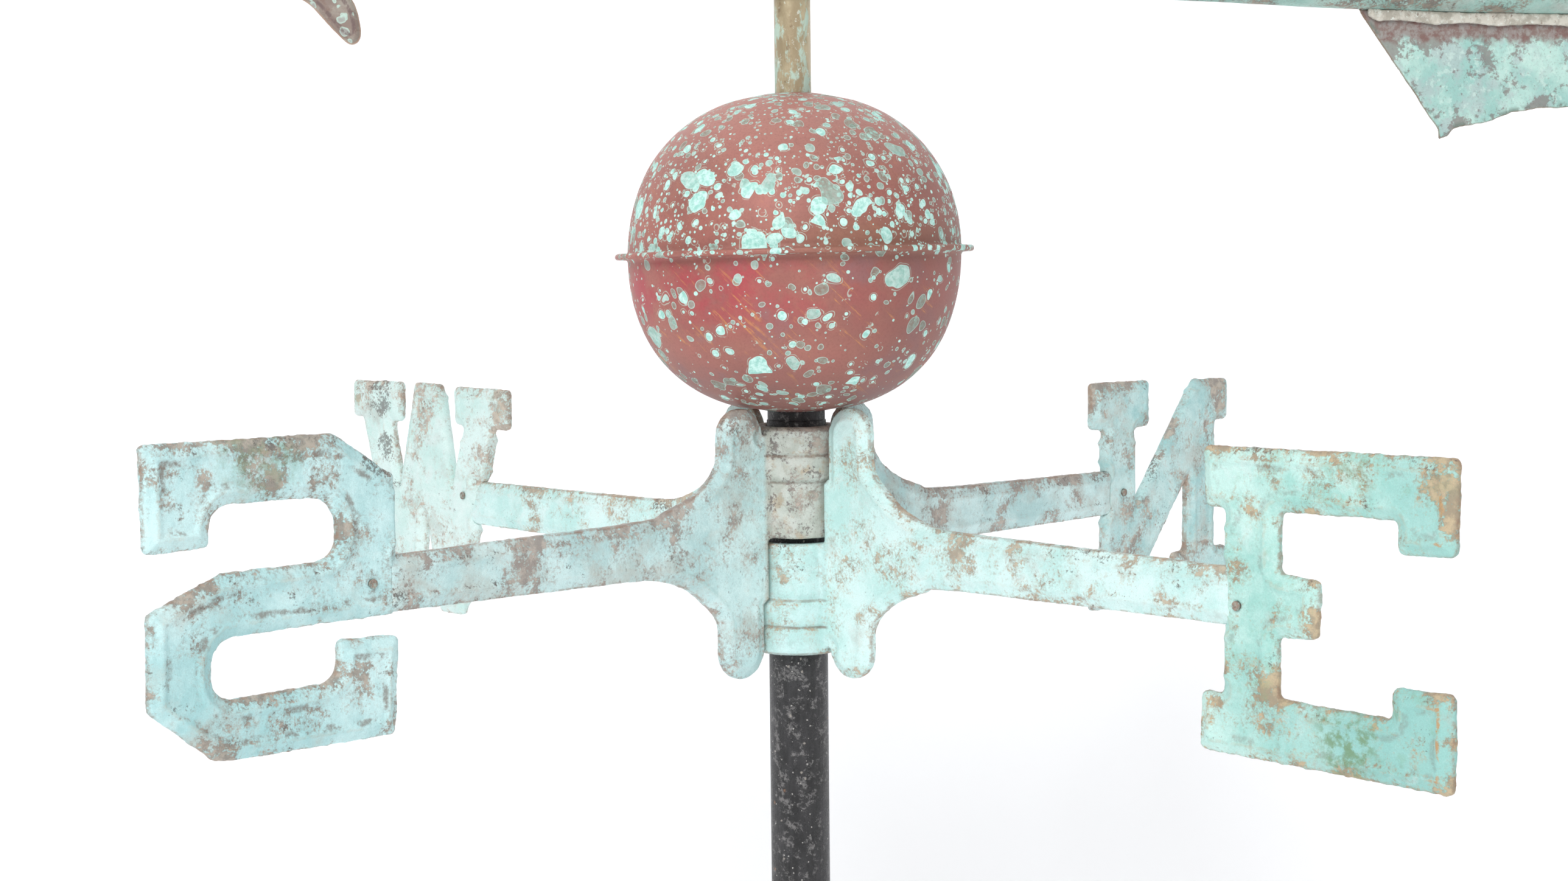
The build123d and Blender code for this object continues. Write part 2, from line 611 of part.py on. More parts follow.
# place along the arrow, radius
SLEEVE = [
    (-21.0, 0), (-21.0, 8.4), (-19.6, 9.4), (19.6, 9.0), (21.0, 8.0), (21.0, 0), (-21.0, 0),
]
with BuildPart() as shaft_saddle:
    with BuildSketch(Plane.XY.offset(SOCKET_BOTTOM)):
        Circle(SOCKET_OUTER_R)
    extrude(amount=SOCKET_H)
    with BuildSketch(ARROW):
        with BuildLine():
            Polyline(*SLEEVE)
        make_face()
    revolve(axis=ARROW_AXIS)
    with BuildSketch(Plane.XY.offset(BOSS_BOTTOM)):
        Circle(BOSS_R)
    extrude(amount=BOSS_H)
    add(shaft_form.part, mode=Mode.SUBTRACT)
    with BuildSketch(Plane.XY.offset(SOCKET_CUT_BOTTOM)):
        Circle(TUBE_R + SADDLE_FIT)
    extrude(amount=TUBE_TOP - SOCKET_CUT_BOTTOM + SADDLE_FIT, mode=Mode.SUBTRACT)
    with BuildSketch(Plane.XY.offset(ARROW_Z)):
        Circle(STUD_HOLE_R)
    extrude(amount=20, mode=Mode.SUBTRACT)
save_part(shaft_saddle, "shaft_saddle", BRASS)

# small finial whose stud is screwed down through the saddle's top: radius, height above the
# arrow's axis
FINIAL_STUD = [(0, 6.5), (1.98, 6.5), (1.98, 11.82), (5.4, 11.82), (5.4, 13.0), (3.0, 14.0)]
FINIAL_BULB = [(3.0, 14.0), (6.4, 17.6), (7.4, 21.4), (5.6, 25.6), (2.3, 28.6), (0, 31.0)]
with BuildPart() as saddle_finial:
    with BuildSketch(Plane.XZ.shift_origin((0, 0, ARROW_Z))):
        with BuildLine():
            Polyline(*FINIAL_STUD)
            Spline(*FINIAL_BULB)
            Line(FINIAL_BULB[-1], FINIAL_STUD[0])
        make_face()
    revolve(axis=Axis.Z)
save_part(saddle_finial, "saddle_finial", BRASS)

# ---------------------------------------------------------------- arrowhead
# Two pressed halves on a tang. Outlines: place along the arrow, height from its axis.
HEAD_LOW = [
    (204.0, -5.4), (197.4, -8.0), (193.0, -13.6), (190.4, -24.0), (191.0, -29.2),
    (194.0, -31.3), (198.2, -28.9), (205.6, -21.0), (214.2, -12.4), (232.0, -8.4),
    (260.0, -6.4), (282.0, -3.6), (296.0, 0.0),
]
HEAD_HIGH = [(x, -y) for x, y in HEAD_LOW]
HEAD_HALF_T = 5.0
HEAD_BEVEL = 2.0
TANG_BLADE = [
    (201.0, -3.6), (244.0, -3.0), (262.0, 0), (244.0, 3.0), (201.0, 3.6), (201.0, -3.6),
]
BLADE_HALF_T = 1.5
TANG_SLOT = [
    (200.0, -3.7), (244.5, -3.1), (263.0, 0), (244.5, 3.1), (200.0, 3.7), (200.0, -3.7),
]
SLOT_HALF_T = 1.52
TANG_START = 168
TANG_LENGTH = 34
BORE_START = 195
# round bores in the head, for the shaft's end and for the tang: radius, depth
HEAD_BORES = ((FRONT_R + 0.05, 5.2), (FRONT_R - SHAFT_WALL, 7.05))

with BuildPart() as head_tang:
    with BuildSketch(cross_plane(TANG_START)):
        Circle(FRONT_R - SHAFT_WALL - 0.05)
    extrude(amount=TANG_LENGTH)
    with BuildSketch(ARROW):
        with BuildLine():
            Polyline(*TANG_BLADE)
        make_face()
    extrude(amount=BLADE_HALF_T, both=True)
save_part(head_tang, "head_tang", BRASS)


def build_head(toward):
    """Half an arrowhead; toward is +1 on the side of the arrow plane's normal, else -1."""
    with BuildPart() as head:
        with BuildSketch(ARROW):
            with BuildLine():
                Spline(*HEAD_LOW)
                Spline(*HEAD_HIGH)
                Line(HEAD_LOW[0], HEAD_HIGH[0])
            make_face()
        extrude(amount=toward * HEAD_HALF_T)
        outward = Axis((0, 0, 0), (toward * HEADING_Y, -toward * HEADING_X, 0))
        chamfer(head.faces().sort_by(outward)[-1].edges(), HEAD_BEVEL)
        with BuildSketch(ARROW):
            with BuildLine():
                Polyline(*TANG_SLOT)
            make_face()
        extrude(amount=toward * SLOT_HALF_T, mode=Mode.SUBTRACT)
        for radius, depth in HEAD_BORES:
            with BuildSketch(cross_plane(BORE_START)):
                Circle(radius)
            extrude(amount=depth, mode=Mode.SUBTRACT)
    return head


save_part(build_head(-1), "arrowhead_near", COPPER)
save_part(build_head(1), "arrowhead_far", COPPER)

# ---------------------------------------------------------------- tail feathers
# Flat sheets soldered along the shaft's underside and top. Outlines: place along the arrow,
# distance from its axis.
FEATHER_T = 1.6
FEATHER = [
    (-263.0, 8.0), (-266.8, 16.7), (-305.0, 70.6), (-305.4, 75.0), (-309.5, 73.6),
    (-312.5, 70.2), (-318.0, 68.6), (-327.0, 67.8), (-341.0, 62.8), (-356.0, 60.6),
    (-370.0, 60.2), (-402.0, 61.0), (-432.0, 65.5), (-458.0, 73.0), (-444.0, 50.0),
    (-424.0, 17.0), (-424.0, 6.0),
]
SOLDER_HALF_T = 3.2
SOLDER = [
    (-269.5, 8.0), (-269.5, 17.5), (-274.0, 20.4), (-286.0, 20.0), (-303.0, 21.9),
    (-318.0, 21.2), (-334.0, 22.6), (-352.0, 21.6), (-370.0, 22.8), (-392.0, 22.0),
    (-410.0, 21.8), (-420.0, 18.4), (-420.0, 8.0), (-269.5, 8.0),
]


def build_feather(up):
    """One feather, above the shaft for +1 and below it for -1."""
    with BuildPart() as feather:
        with BuildSketch(ARROW):
            Polygon(*[(x, up * y) for x, y in FEATHER], align=None)
        extrude(amount=FEATHER_T / 2, both=True)
        add(shaft_form.part, mode=Mode.SUBTRACT)
    return feather


def build_solder(up):
    """Two fillets of solder, one on each side of a feather's root."""
    with BuildPart() as solder:
        with BuildSketch(ARROW):
            with BuildLine():
                Polyline(*[(x, up * y) for x, y in SOLDER])
            make_face()
        extrude(amount=SOLDER_HALF_T, both=True)
        add(shaft_form.part, mode=Mode.SUBTRACT)
        # the gap that the feather's sheet fills
        with BuildSketch(ARROW):
            Rectangle(1000, 200)
        extrude(amount=FEATHER_T / 2, both=True, mode=Mode.SUBTRACT)
    return solder


for place, up in (("lower", -1), ("upper", 1)):
    save_part(build_feather(up), f"feather_{place}", PATINA)
    save_part(build_solder(up), f"solder_{place}", STEEL)
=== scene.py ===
"""Looks of a weather vane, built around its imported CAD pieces.

A black iron mast stands on the Z axis. Cast arms lie along Y (north-south, north at +Y) and
along X (east-west, east at +X) and end in bevelled letters, all with verdigris. Above the
hub sit a spattered copper globe and, on a brass tube, a sheet-copper arrow with feathers.
Shapes and textures are worked in millimetres; the stage and the camera are in metres.
"""

import math

import bmesh
import bpy
import numpy as np
from mathutils import Matrix, Vector


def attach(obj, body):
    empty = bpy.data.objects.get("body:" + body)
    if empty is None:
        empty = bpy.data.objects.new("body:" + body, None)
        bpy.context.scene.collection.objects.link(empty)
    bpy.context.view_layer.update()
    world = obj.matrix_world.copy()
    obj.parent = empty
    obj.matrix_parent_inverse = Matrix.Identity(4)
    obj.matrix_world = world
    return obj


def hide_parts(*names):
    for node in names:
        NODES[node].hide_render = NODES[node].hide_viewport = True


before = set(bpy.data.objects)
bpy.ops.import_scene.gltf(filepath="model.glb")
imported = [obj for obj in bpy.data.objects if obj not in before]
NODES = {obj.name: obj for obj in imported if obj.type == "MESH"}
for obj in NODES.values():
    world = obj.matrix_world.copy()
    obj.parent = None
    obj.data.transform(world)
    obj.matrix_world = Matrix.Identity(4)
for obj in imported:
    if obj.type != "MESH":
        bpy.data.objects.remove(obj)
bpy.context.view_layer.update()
MAST, VANE = "mast_assembly", "arrow_vane"

HUB = 480.0  # height of the arms' hub
GLOBE_Z = HUB + 128.8
ARROW_Z = HUB + 253.0
ARROW_ANGLE = math.radians(235.7)  # heading of the arrow's point, from +X
RIGHT_X, RIGHT_Y = 0.6881, 0.7256  # level direction to the camera's right
EDGE_FAR = 9.0  # edge distance given to parts without a border


# ---------------------------------------------------------------- noise in numpy
def noise3(points, seed):
    """Smooth 3-D gradient noise, about -0.6 to 0.6, one value a row."""
    rng = np.random.RandomState(seed)
    order = rng.permutation(256)
    slopes = rng.normal(size=(256, 3))
    slopes /= np.linalg.norm(slopes, axis=1)[:, None]
    cell = np.floor(points).astype(int)
    inside = points - cell
    ease = inside * inside * inside * (inside * (inside * 6 - 15) + 10)
    total = np.zeros(len(points))
    for dx in (0, 1):
        hash_x = order[(cell[:, 0] + dx) & 255]
        weight_x = ease[:, 0] if dx else 1 - ease[:, 0]
        for dy in (0, 1):
            hash_y = order[(hash_x + cell[:, 1] + dy) & 255]
            weight_y = ease[:, 1] if dy else 1 - ease[:, 1]
            for dz in (0, 1):
                slope = slopes[order[(hash_y + cell[:, 2] + dz) & 255]]
                weight_z = ease[:, 2] if dz else 1 - ease[:, 2]
                dot = ((inside - (dx, dy, dz)) * slope).sum(1)
                total += weight_x * weight_y * weight_z * dot
    return total


def fbm(points, size, seed, octaves=2, gain=0.5):
    """Layered noise; size is the coarsest feature in mm."""
    total, strength = np.zeros(len(points)), 1.0
    for k in range(octaves):
        shifted = points / size * 2.0**k + 3.7 * seed + 11.3 * k
        total += strength * noise3(shifted, seed + 13 * k)
        strength *= gain
    return total


def ramp(x, start, full):
    """Smooth rise from 0 at start to 1 at full."""
    t = np.clip((x - start) / (full - start), 0, 1)
    return t * t * (3 - 2 * t)


def ridge(x, centre, width):
    """Bell curve, 1 at its centre."""
    return np.exp(-(((x - centre) / width) ** 2))


# ---------------------------------------------------------------- mesh helpers
def get_co(me):
    co = np.zeros(len(me.vertices) * 3)
    me.vertices.foreach_get("co", co)
    return co.reshape(-1, 3) * 1000.0


def set_co(me, co):
    me.vertices.foreach_set("co", (co / 1000.0).astype(np.float32).ravel())
    me.update()


def get_normals(me):
    normals = np.zeros(len(me.vertices) * 3)
    me.vertices.foreach_get("normal", normals)
    return normals.reshape(-1, 3)


def put_edge(me, distance):
    """Store each vertex's distance to the outline for the materials."""
    attribute = me.attributes.new("edge_mm", "FLOAT", "POINT")
    attribute.data.foreach_set("value", distance.astype(np.float32))


def smooth_all(me):
    me.polygons.foreach_set("use_smooth", np.ones(len(me.polygons), dtype=bool))
    me.update()


def add_object(name, me):
    ob = bpy.data.objects.new(name, me)
    bpy.context.scene.collection.objects.link(ob)
    return ob


def remeshed(node, name, voxel, smooth=3):
    """An even, closed copy of a CAD node, ready to be worked by the vertex."""
    me = NODES[node].data.copy()
    bm = bmesh.new()
    bm.from_mesh(me)
    bmesh.ops.remove_doubles(bm, verts=bm.verts, dist=2e-6)
    bm.to_mesh(me)
    bm.free()
    ob = add_object(name, me)
    remesh = ob.modifiers.new("remesh", "REMESH")
    remesh.mode, remesh.voxel_size, remesh.adaptivity = "VOXEL", voxel / 1000.0, 0.0
    remesh.use_smooth_shade = True
    relax = ob.modifiers.new("smooth", "SMOOTH")
    relax.factor, relax.iterations = 0.5, smooth
    bpy.context.view_layer.update()
    depsgraph = bpy.context.evaluated_depsgraph_get()
    new = bpy.data.meshes.new_from_object(ob.evaluated_get(depsgraph))
    ob.modifiers.clear()
    ob.data = new
    new.materials.clear()
    smooth_all(new)
    return ob


def spin(radii, segments):
    """The two coordinates across the axis of a section turned full circle."""
    angle = np.arange(segments) * 2 * math.pi / segments
    return (np.cos(angle)[:, None] * radii).ravel(), (np.sin(angle)[:, None] * radii).ravel()


def turned_object(name, co, segments):
    """Object from a closed section repeated segments times round an axis."""
    n = len(co) // segments
    faces = []
    for s in range(segments):
        t = (s + 1) % segments
        for i in range(n):
            j = (i + 1) % n
            faces.append((s * n + i, t * n + i, t * n + j, s * n + j))
    me = bpy.data.meshes.new(name)
    me.from_pydata((co / 1000.0).tolist(), [], faces)
    bm = bmesh.new()
    bm.from_mesh(me)
    bmesh.ops.recalc_face_normals(bm, faces=bm.faces)
    bm.to_mesh(me)
    bm.free()
    smooth_all(me)
    return add_object(name, me)


def wall_segments(me, flat, normal, limit, keep=None):
    """2-D edges of a plate's side walls. flat is each vertex in the plate's plane."""
    segments = []
    for poly in me.polygons:
        if abs(np.array(poly.normal) @ normal) > limit:
            continue
        ids = list(poly.vertices)
        for a, b in zip(ids, ids[1:] + ids[:1]):
            p, q = flat[a], flat[b]
            if (abs(p - q) > 0.01).any() and (keep is None or (keep(p) and keep(q))):
                segments.append((*p, *q))
    return np.unique(np.round(np.array(segments), 3), axis=0)


def outline_of(node, axis, keep):
    """Side walls of a plate whose thickness lies along axis (0 is X, 1 is Y)."""
    me = NODES[node].data
    return wall_segments(me, get_co(me)[:, [1 - axis, 2]], np.eye(3)[axis], 0.02, keep)


def distance_to(points, segments):
    """Distance from each 2-D point to the nearest segment, in batches."""
    a, b = segments[:, :2], segments[:, 2:]
    along = b - a
    length = (along * along).sum(1) + 1e-12
    out = np.empty(len(points))
    batch = max(1, int(4e6 / max(1, len(segments))))
    for s in range(0, len(points), batch):
        p = points[s : s + batch, None, :]
        t = np.clip(((p - a) * along).sum(2) / length, 0, 1)
        out[s : s + batch] = np.sqrt((((a + t[..., None] * along) - p) ** 2).sum(2).min(1))
    return out


def crust(ob, fine, coarse, seed, edge=0.0, distance=None):
    """The uneven skin of rough metal, stronger near the outline if distance is given."""
    me = ob.data
    co, normals = get_co(me), get_normals(me)
    push = coarse * fbm(co, 11.0, seed) + fine * fbm(co, 2.6, seed + 5)
    if distance is not None:
        rim = ridge(distance, 0, 1.8)
        push += rim * edge * fbm(co, 5.0, seed + 9, octaves=3, gain=0.65)
        push += rim * 2.2 * edge * np.clip(fbm(co, 3.4, seed + 21) - 0.26, 0, 1)
    set_co(me, co + normals * push[:, None])


# ---------------------------------------------------------------- node graph helper
def rgb(*channels):
    """Linear colour from 0-255 display values."""

    def linear(v):
        v /= 255.0
        return v / 12.92 if v <= 0.04045 else ((v + 0.055) / 1.055) ** 2.4

    return (*map(linear, channels), 1.0)


class Signal:
    """A shader output; each sum, difference, product or abs adds a Math node."""

    def __init__(self, graph, socket):
        self.graph, self.socket = graph, socket

    def __add__(self, other):
        return self.graph.math("ADD", self, other)

    def __radd__(self, other):
        return self.graph.math("ADD", other, self)

    def __sub__(self, other):
        return self.graph.math("SUBTRACT", self, other)

    def __rsub__(self, other):
        return self.graph.math("SUBTRACT", other, self)

    def __mul__(self, other):
        return self.graph.math("MULTIPLY", self, other)

    def __rmul__(self, other):
        return self.graph.math("MULTIPLY", other, self)

    def __abs__(self):
        return self.graph.math("ABSOLUTE", self)


FALL = (1.0, 0.0)  # output of a step that goes from full to nothing


class Graph:
    """A material under construction: colour holds the layers painted so far.

    Sizes and positions are in mm, colours are 0-255, seed is added to every texture's seed.
    """

    def __init__(self, name, seed=0):
        self.mat = bpy.data.materials.new(name)
        self.mat.use_nodes = True
        self.tree = self.mat.node_tree
        self.tree.nodes.clear()
        self.seed = seed
        place = self.out(self.node("TexCoord"), "Object")
        self.place = self.vector_math("SCALE", place, scale=1000.0)

    def node(self, kind):
        return self.tree.nodes.new("ShaderNode" + kind)

    def out(self, node, key=0):
        return Signal(self, node.outputs[key])

    def put(self, socket, value):
        if isinstance(value, Signal):
            self.tree.links.new(value.socket, socket)
        else:
            socket.default_value = value

    def math(self, op, a, b=0.0):
        n = self.node("Math")
        n.operation = op
        self.put(n.inputs[0], a)
        self.put(n.inputs[1], b)
        return self.out(n)

    def vector_math(self, op, a, b=None, scale=None):
        n = self.node("VectorMath")
        n.operation = op
        self.put(n.inputs[0], a)
        if b is not None:
            self.put(n.inputs[1], b)
        if scale is not None:
            n.inputs["Scale"].default_value = scale
        return self.out(n, "Value" if op in ("DISTANCE", "LENGTH") else "Vector")

    def step(self, x, over, gives=(0.0, 1.0)):
        """Smooth change of x over a span of values, from the first of gives to the second."""
        n = self.node("MapRange")
        n.interpolation_type = "SMOOTHSTEP"
        self.put(n.inputs["Value"], x)
        for key, v in zip(("From Min", "From Max", "To Min", "To Max"), (*over, *gives)):
            self.put(n.inputs[key], v)
        return self.out(n, "Result")

    def moved(self, offset=(0, 0, 0), stretch=(1, 1, 1), vector=None):
        n = self.node("Mapping")
        self.put(n.inputs["Vector"], vector or self.place)
        n.inputs["Location"].default_value = offset
        n.inputs["Scale"].default_value = stretch
        return self.out(n)

    def noise_node(self, size, detail, rough, seed, vector):
        n = self.node("TexNoise")
        seed += self.seed
        offset = (seed * 37.1, seed * -21.7, seed * 13.9)
        self.put(n.inputs["Vector"], self.moved(offset, vector=vector))
        n.inputs["Scale"].default_value = 1.0 / size
        n.inputs["Detail"].default_value = detail
        n.inputs["Roughness"].default_value = rough
        return n

    def noise(self, size, detail, rough, seed, vector=None):
        return self.out(self.noise_node(size, detail, rough, seed, vector), "Fac")

    def patches(self, size, detail, rough, seed, over, gives=(0.0, 1.0), vector=None):
        """Noise stepped into patches."""
        return self.step(self.noise(size, detail, rough, seed, vector), over, gives)

    def warped(self, size, amount, seed, vector=None, detail=3.0):
        """Position pushed about by noise, amount in mm."""
        push = self.out(self.noise_node(size, detail, 0.6, seed, vector), "Color")
        push = self.vector_math("SUBTRACT", push, (0.5, 0.5, 0.5))
        push = self.vector_math("SCALE", push, scale=amount * 2.0)
        return self.vector_math("ADD", vector or self.place, push)

    def cells(self, size, vector, seed):
        """Voronoi cells: distance to the cell's point, and three random numbers."""
        n = self.node("TexVoronoi")
        offset = (seed * 17.3, seed * 9.1, seed * -5.7)
        self.put(n.inputs["Vector"], self.moved(offset, vector=vector))
        n.inputs["Scale"].default_value = 1.0 / size
        split = self.node("SeparateColor")
        self.put(split.inputs[0], self.out(n, "Color"))
        return self.out(n, "Distance") * size, [self.out(split, i) for i in range(3)]

    def zones(self, where, spots, column):
        """Sum of soft round patches, each as strong as the spot's amount in column."""
        total = 0.0
        for spot in spots:
            if not spot[column]:
                continue
            distance = self.vector_math("DISTANCE", where, spot[:3])
            inside = self.step(distance, over=(spot[3], spot[3] * 0.35))
            total = total + inside * spot[column]
        return total

    def mix(self, fac, under, over):
        n = self.node("Mix")
        n.data_type = "RGBA"
        self.put(n.inputs[0], fac)
        for key, tone in ((6, under), (7, over)):
            self.put(n.inputs[key], tone if isinstance(tone, Signal) else rgb(*tone))
        return self.out(n, 2)

    def paint(self, amount, tone):
        """Lay a tone over the colour so far."""
        self.colour = self.mix(amount, self.colour, tone)

    def axis(self, i, vector=None):
        n = self.node("SeparateXYZ")
        self.put(n.inputs[0], vector or self.place)
        return self.out(n, i)

    def edge_distance(self):
        n = self.node("Attribute")
        n.attribute_name = "edge_mm"
        return self.out(n, "Fac")

    def finish(self, rough, height, bump, metal=0.0, spec=0.5):
        shader = self.node("BsdfPrincipled")
        self.put(shader.inputs["Base Color"], self.colour)
        self.put(shader.inputs["Roughness"], rough)
        self.put(shader.inputs["Metallic"], metal)
        shader.inputs["Specular IOR Level"].default_value = spec
        n = self.node("Bump")
        n.inputs["Strength"].default_value = bump
        n.inputs["Distance"].default_value = 0.0006
        self.put(n.inputs["Height"], height)
        self.put(shader.inputs["Normal"], self.out(n))
        self.put(self.node("OutputMaterial").inputs["Surface"], self.out(shader))
        return self.mat


# ---------------------------------------------------------------- verdigris
WEAR, DARK, GREEN, TEAL = 4, 5, 6, 7  # columns of a spot, after x, y, z and radius
CHALK = (228, 244, 241)


def spots_on(line, rows):
    """Spots on the X or Y line of an arm. A row is the place along the line, the height
    above the hub, the radius, then wear, dark, green and teal; missing ends are 0."""
    spots = []
    for along, up, *rest in rows:
        x, y = (along, 0) if line == "X" else (0, along)
        spots.append((x, y, HUB + up, *(rest + [0.0] * 4)[:5]))
    return spots


def paint_collar(g, collar, middle, grain):
    """The hub's own tint, stains, pits and painted shade along its grooves; collar is two tones
    and dirt.
    """
    radius = g.vector_math("LENGTH", g.moved(stretch=(1, 1, 0)))
    hub = g.step(radius + middle * 3, over=(26.5, 23.5))
    tone_a, tone_b, dirt = collar
    g.paint(hub * 0.85, g.mix(g.step(middle, over=(0.4, 0.6)), tone_a, tone_b))
    stain = hub * g.patches(
        9, detail=7, rough=0.68, seed=30, over=(0.52, 0.64), gives=(0, dirt * 0.7)
    )
    hue = g.noise(18, detail=2, rough=0.5, seed=31)
    g.paint(stain, g.mix(hue, (150, 128, 88), (206, 172, 140)))
    pitted = g.noise(7, detail=3, rough=0.6, seed=32) * 0.5 + grain * 0.5
    g.paint(hub * g.step(pitted, over=(0.535, 0.58), gives=(0, dirt)), (118, 108, 106))
    high = abs(g.axis(2) - HUB)
    # distance of a groove from the hub's middle, and the strength of the painted shade laid
    # along it as a broken dark line
    for level, amount in ((26.6, 0.55), (38.6, 0.75), (50.6, 0.5)):
        off = abs(high - (level + (middle - 0.5) * 1.2))
        painted_groove_shade = g.step(off, over=(0.25, 0.85), gives=FALL) * hub
        broken = g.patches(
            6, detail=5, rough=0.7, seed=33, over=(0.40, 0.56), gives=(0.25, amount)
        )
        g.paint(painted_groove_shade * broken, (134, 112, 96))


def paint_border(g, edge, grain, lines, line_zone, valley):
    """The bevelled border: worn crest, painted shade in the valley inside it and brown outer
    rim.
    """
    wander = edge + (g.noise(4, detail=4, rough=0.7, seed=22) - 0.5) * 3.2
    crest = g.step(abs(wander - 5.0), over=(0.25, 0.95), gives=FALL)
    amount = lines
    if line_zone:
        axis, start, extra = line_zone
        amount = lines + g.step(abs(g.axis(axis)), over=(start, start + 6)) * extra
    crest = crest * (g.patches(9, detail=5, rough=0.7, seed=13, over=(0.46, 0.56)) * amount)
    g.paint(crest, (196, 160, 118))
    if valley:
        # painted shade: a broken dark band in the valley just inside the crest
        inner = g.step(abs(wander - 7.2), over=(0.5, 2.0), gives=FALL)
        inner = inner * g.patches(
            13, detail=5, rough=0.68, seed=27, over=(0.50, 0.60), gives=(0, valley)
        )
        inner = inner * g.step(grain, over=(0.30, 0.55), gives=(0.4, 1.0))
        g.paint(inner, (132, 118, 108))
    rim = g.step(edge, over=(0.10, 0.9), gives=FALL)
    rim = rim * g.patches(5, detail=6, rough=0.74, seed=14, over=(0.44, 0.58))
    g.paint(rim * 0.55, (160, 124, 100))


def verdigris(
    name,
    light,
    deep,
    tan,
    brown,
    seed,
    wear=0.0,
    chalky=0.0,
    dark=0.0,
    grey=0.0,
    lines=0.15,
    line_zone=None,
    collar=None,
    green=0.0,
    bloom=0.5,
    valley=0.0,
    teal=(150, 206, 199),
    spots=(),
):
    """Verdigris over copper alloy. wear moves more tan and brown metal through the crust,
    chalky and bloom give more pale bloom, dark more black crust, grey more grey haze,
    lines the worn crest, line_zone (axis, start, extra) where the crest is worn most,
    collar the hub's tint, spots local patches, valley the painted shade just inside the border."""
    g = Graph(name, seed)
    edge = g.edge_distance()
    large = g.noise(34, detail=3, rough=0.5, seed=1)
    bent = g.warped(14, amount=4, seed=3)
    middle = g.noise(9, detail=7, rough=0.64, seed=2, vector=bent)
    grain = g.noise(1.3, detail=5, rough=0.75, seed=4)
    tone = large * 0.5 + (middle * 0.36 + grain * 0.22)
    g.colour = g.mix(g.step(tone, over=(0.44, 0.66)), light, deep)
    where = g.warped(11, amount=7, seed=40) if spots else None
    if any(spot[TEAL] for spot in spots):
        g.paint(g.math("MINIMUM", g.zones(where, spots, TEAL), 0.9), teal)
    haze = g.noise(22, detail=6, rough=0.66, seed=6) + grey
    g.paint(g.step(haze, over=(0.5, 0.74), gives=(0.0, 0.7)), (192, 196, 188))
    bent = g.warped(9, amount=3, seed=8)
    pale = g.noise(11, detail=8, rough=0.68, seed=7, vector=bent) + chalky
    g.paint(g.step(pale, over=(0.54, 0.70)) * bloom, CHALK)
    if collar:
        paint_collar(g, collar, middle, grain)

    # metal showing through: rubbed haze, ragged patches made of grains, loose specks
    facing_up = g.axis(2, g.out(g.node("NewGeometry"), "Normal"))
    ledge = g.step(facing_up, over=(0.12, 0.5), gives=(0.0, 0.035))
    near = g.step(edge, over=(0.2, 3.4), gives=(0.032, 0.0)) + ledge
    bent = g.warped(12, amount=5, seed=20)
    region = g.noise(19, detail=4, rough=0.6, seed=9, vector=bent)
    ragged = g.noise(4.4, detail=6, rough=0.74, seed=10)
    field = region * 0.46 + (ragged * 0.30 + grain * 0.24)
    total = (field + near) + g.math("ADD", g.zones(where, spots, WEAR), wear)
    rubbed = g.step(total, over=(0.50, 0.58)) * g.step(grain, over=(0.36, 0.60))
    bare = g.step(total, over=(0.556, 0.588))
    specks = g.noise(1.5, detail=4, rough=0.8, seed=11) * 0.62 + region * 0.38
    speck = g.step(specks, over=(0.585, 0.62))
    bare = g.math("MAXIMUM", bare * 0.88, speck * 0.66)
    bare = g.math("MAXIMUM", bare, rubbed * 0.50)
    shade = g.patches(6, detail=6, rough=0.7, seed=12, over=(0.42, 0.58))
    g.paint(bare, g.mix(shade, tan, brown))
    paint_border(g, edge, grain, lines, line_zone, valley)

    # green stains, black crust and a fine dark grain
    if green:
        moss = g.patches(16, detail=6, rough=0.66, seed=25, over=(0.56, 0.66)) * green
        g.paint(moss, (128, 168, 122))
    if any(spot[GREEN] for spot in spots):
        moss = g.patches(5, detail=6, rough=0.7, seed=26, over=(0.42, 0.60))
        g.paint(g.zones(where, spots, GREEN) * moss, (120, 152, 112))
    soot = g.noise(15, detail=4, rough=0.6, seed=15) * 0.5 + grain * 0.5
    soot = soot + ((ledge + dark) + g.zones(where, spots, DARK))
    g.paint(g.step(soot, over=(0.585, 0.63)) * 0.72, (96, 92, 90))
    fine = g.patches(0.45, detail=2, rough=0.6, seed=5, over=(0.35, 0.7), gives=(0.0, 0.13))
    g.paint(fine, (112, 128, 122))
    lumps = g.noise(2.6, detail=6, rough=0.7, seed=16)
    height = (lumps * 1.1 + grain * 0.5) + bare * -0.4
    return g.finish(0.66 + bare * -0.12, height, bump=0.75, spec=0.4)


# ---------------------------------------------------------------- other materials
# columns: cell size, largest radius, warp size and amount, share of cells filled above
# and below the seam, seed
GLOBE_DROPS = (
    (2.1, 0.62, 2.4, 0.14, 0.62, 0.20, 41),
    (3.1, 1.05, 3.4, 0.34, 0.70, 0.18, 42),
    (4.6, 1.65, 5.0, 0.75, 0.80, 0.20, 43),
    (5.4, 2.00, 6.0, 1.0, 0.72, 0.30, 44),
    (8.0, 2.90, 8.0, 2.2, 0.80, 0.52, 45),
    (9.2, 3.40, 9.0, 3.0, 0.62, 0.52, 46),
    (14.0, 4.80, 11.0, 5.5, 0.62, 0.62, 47),
)


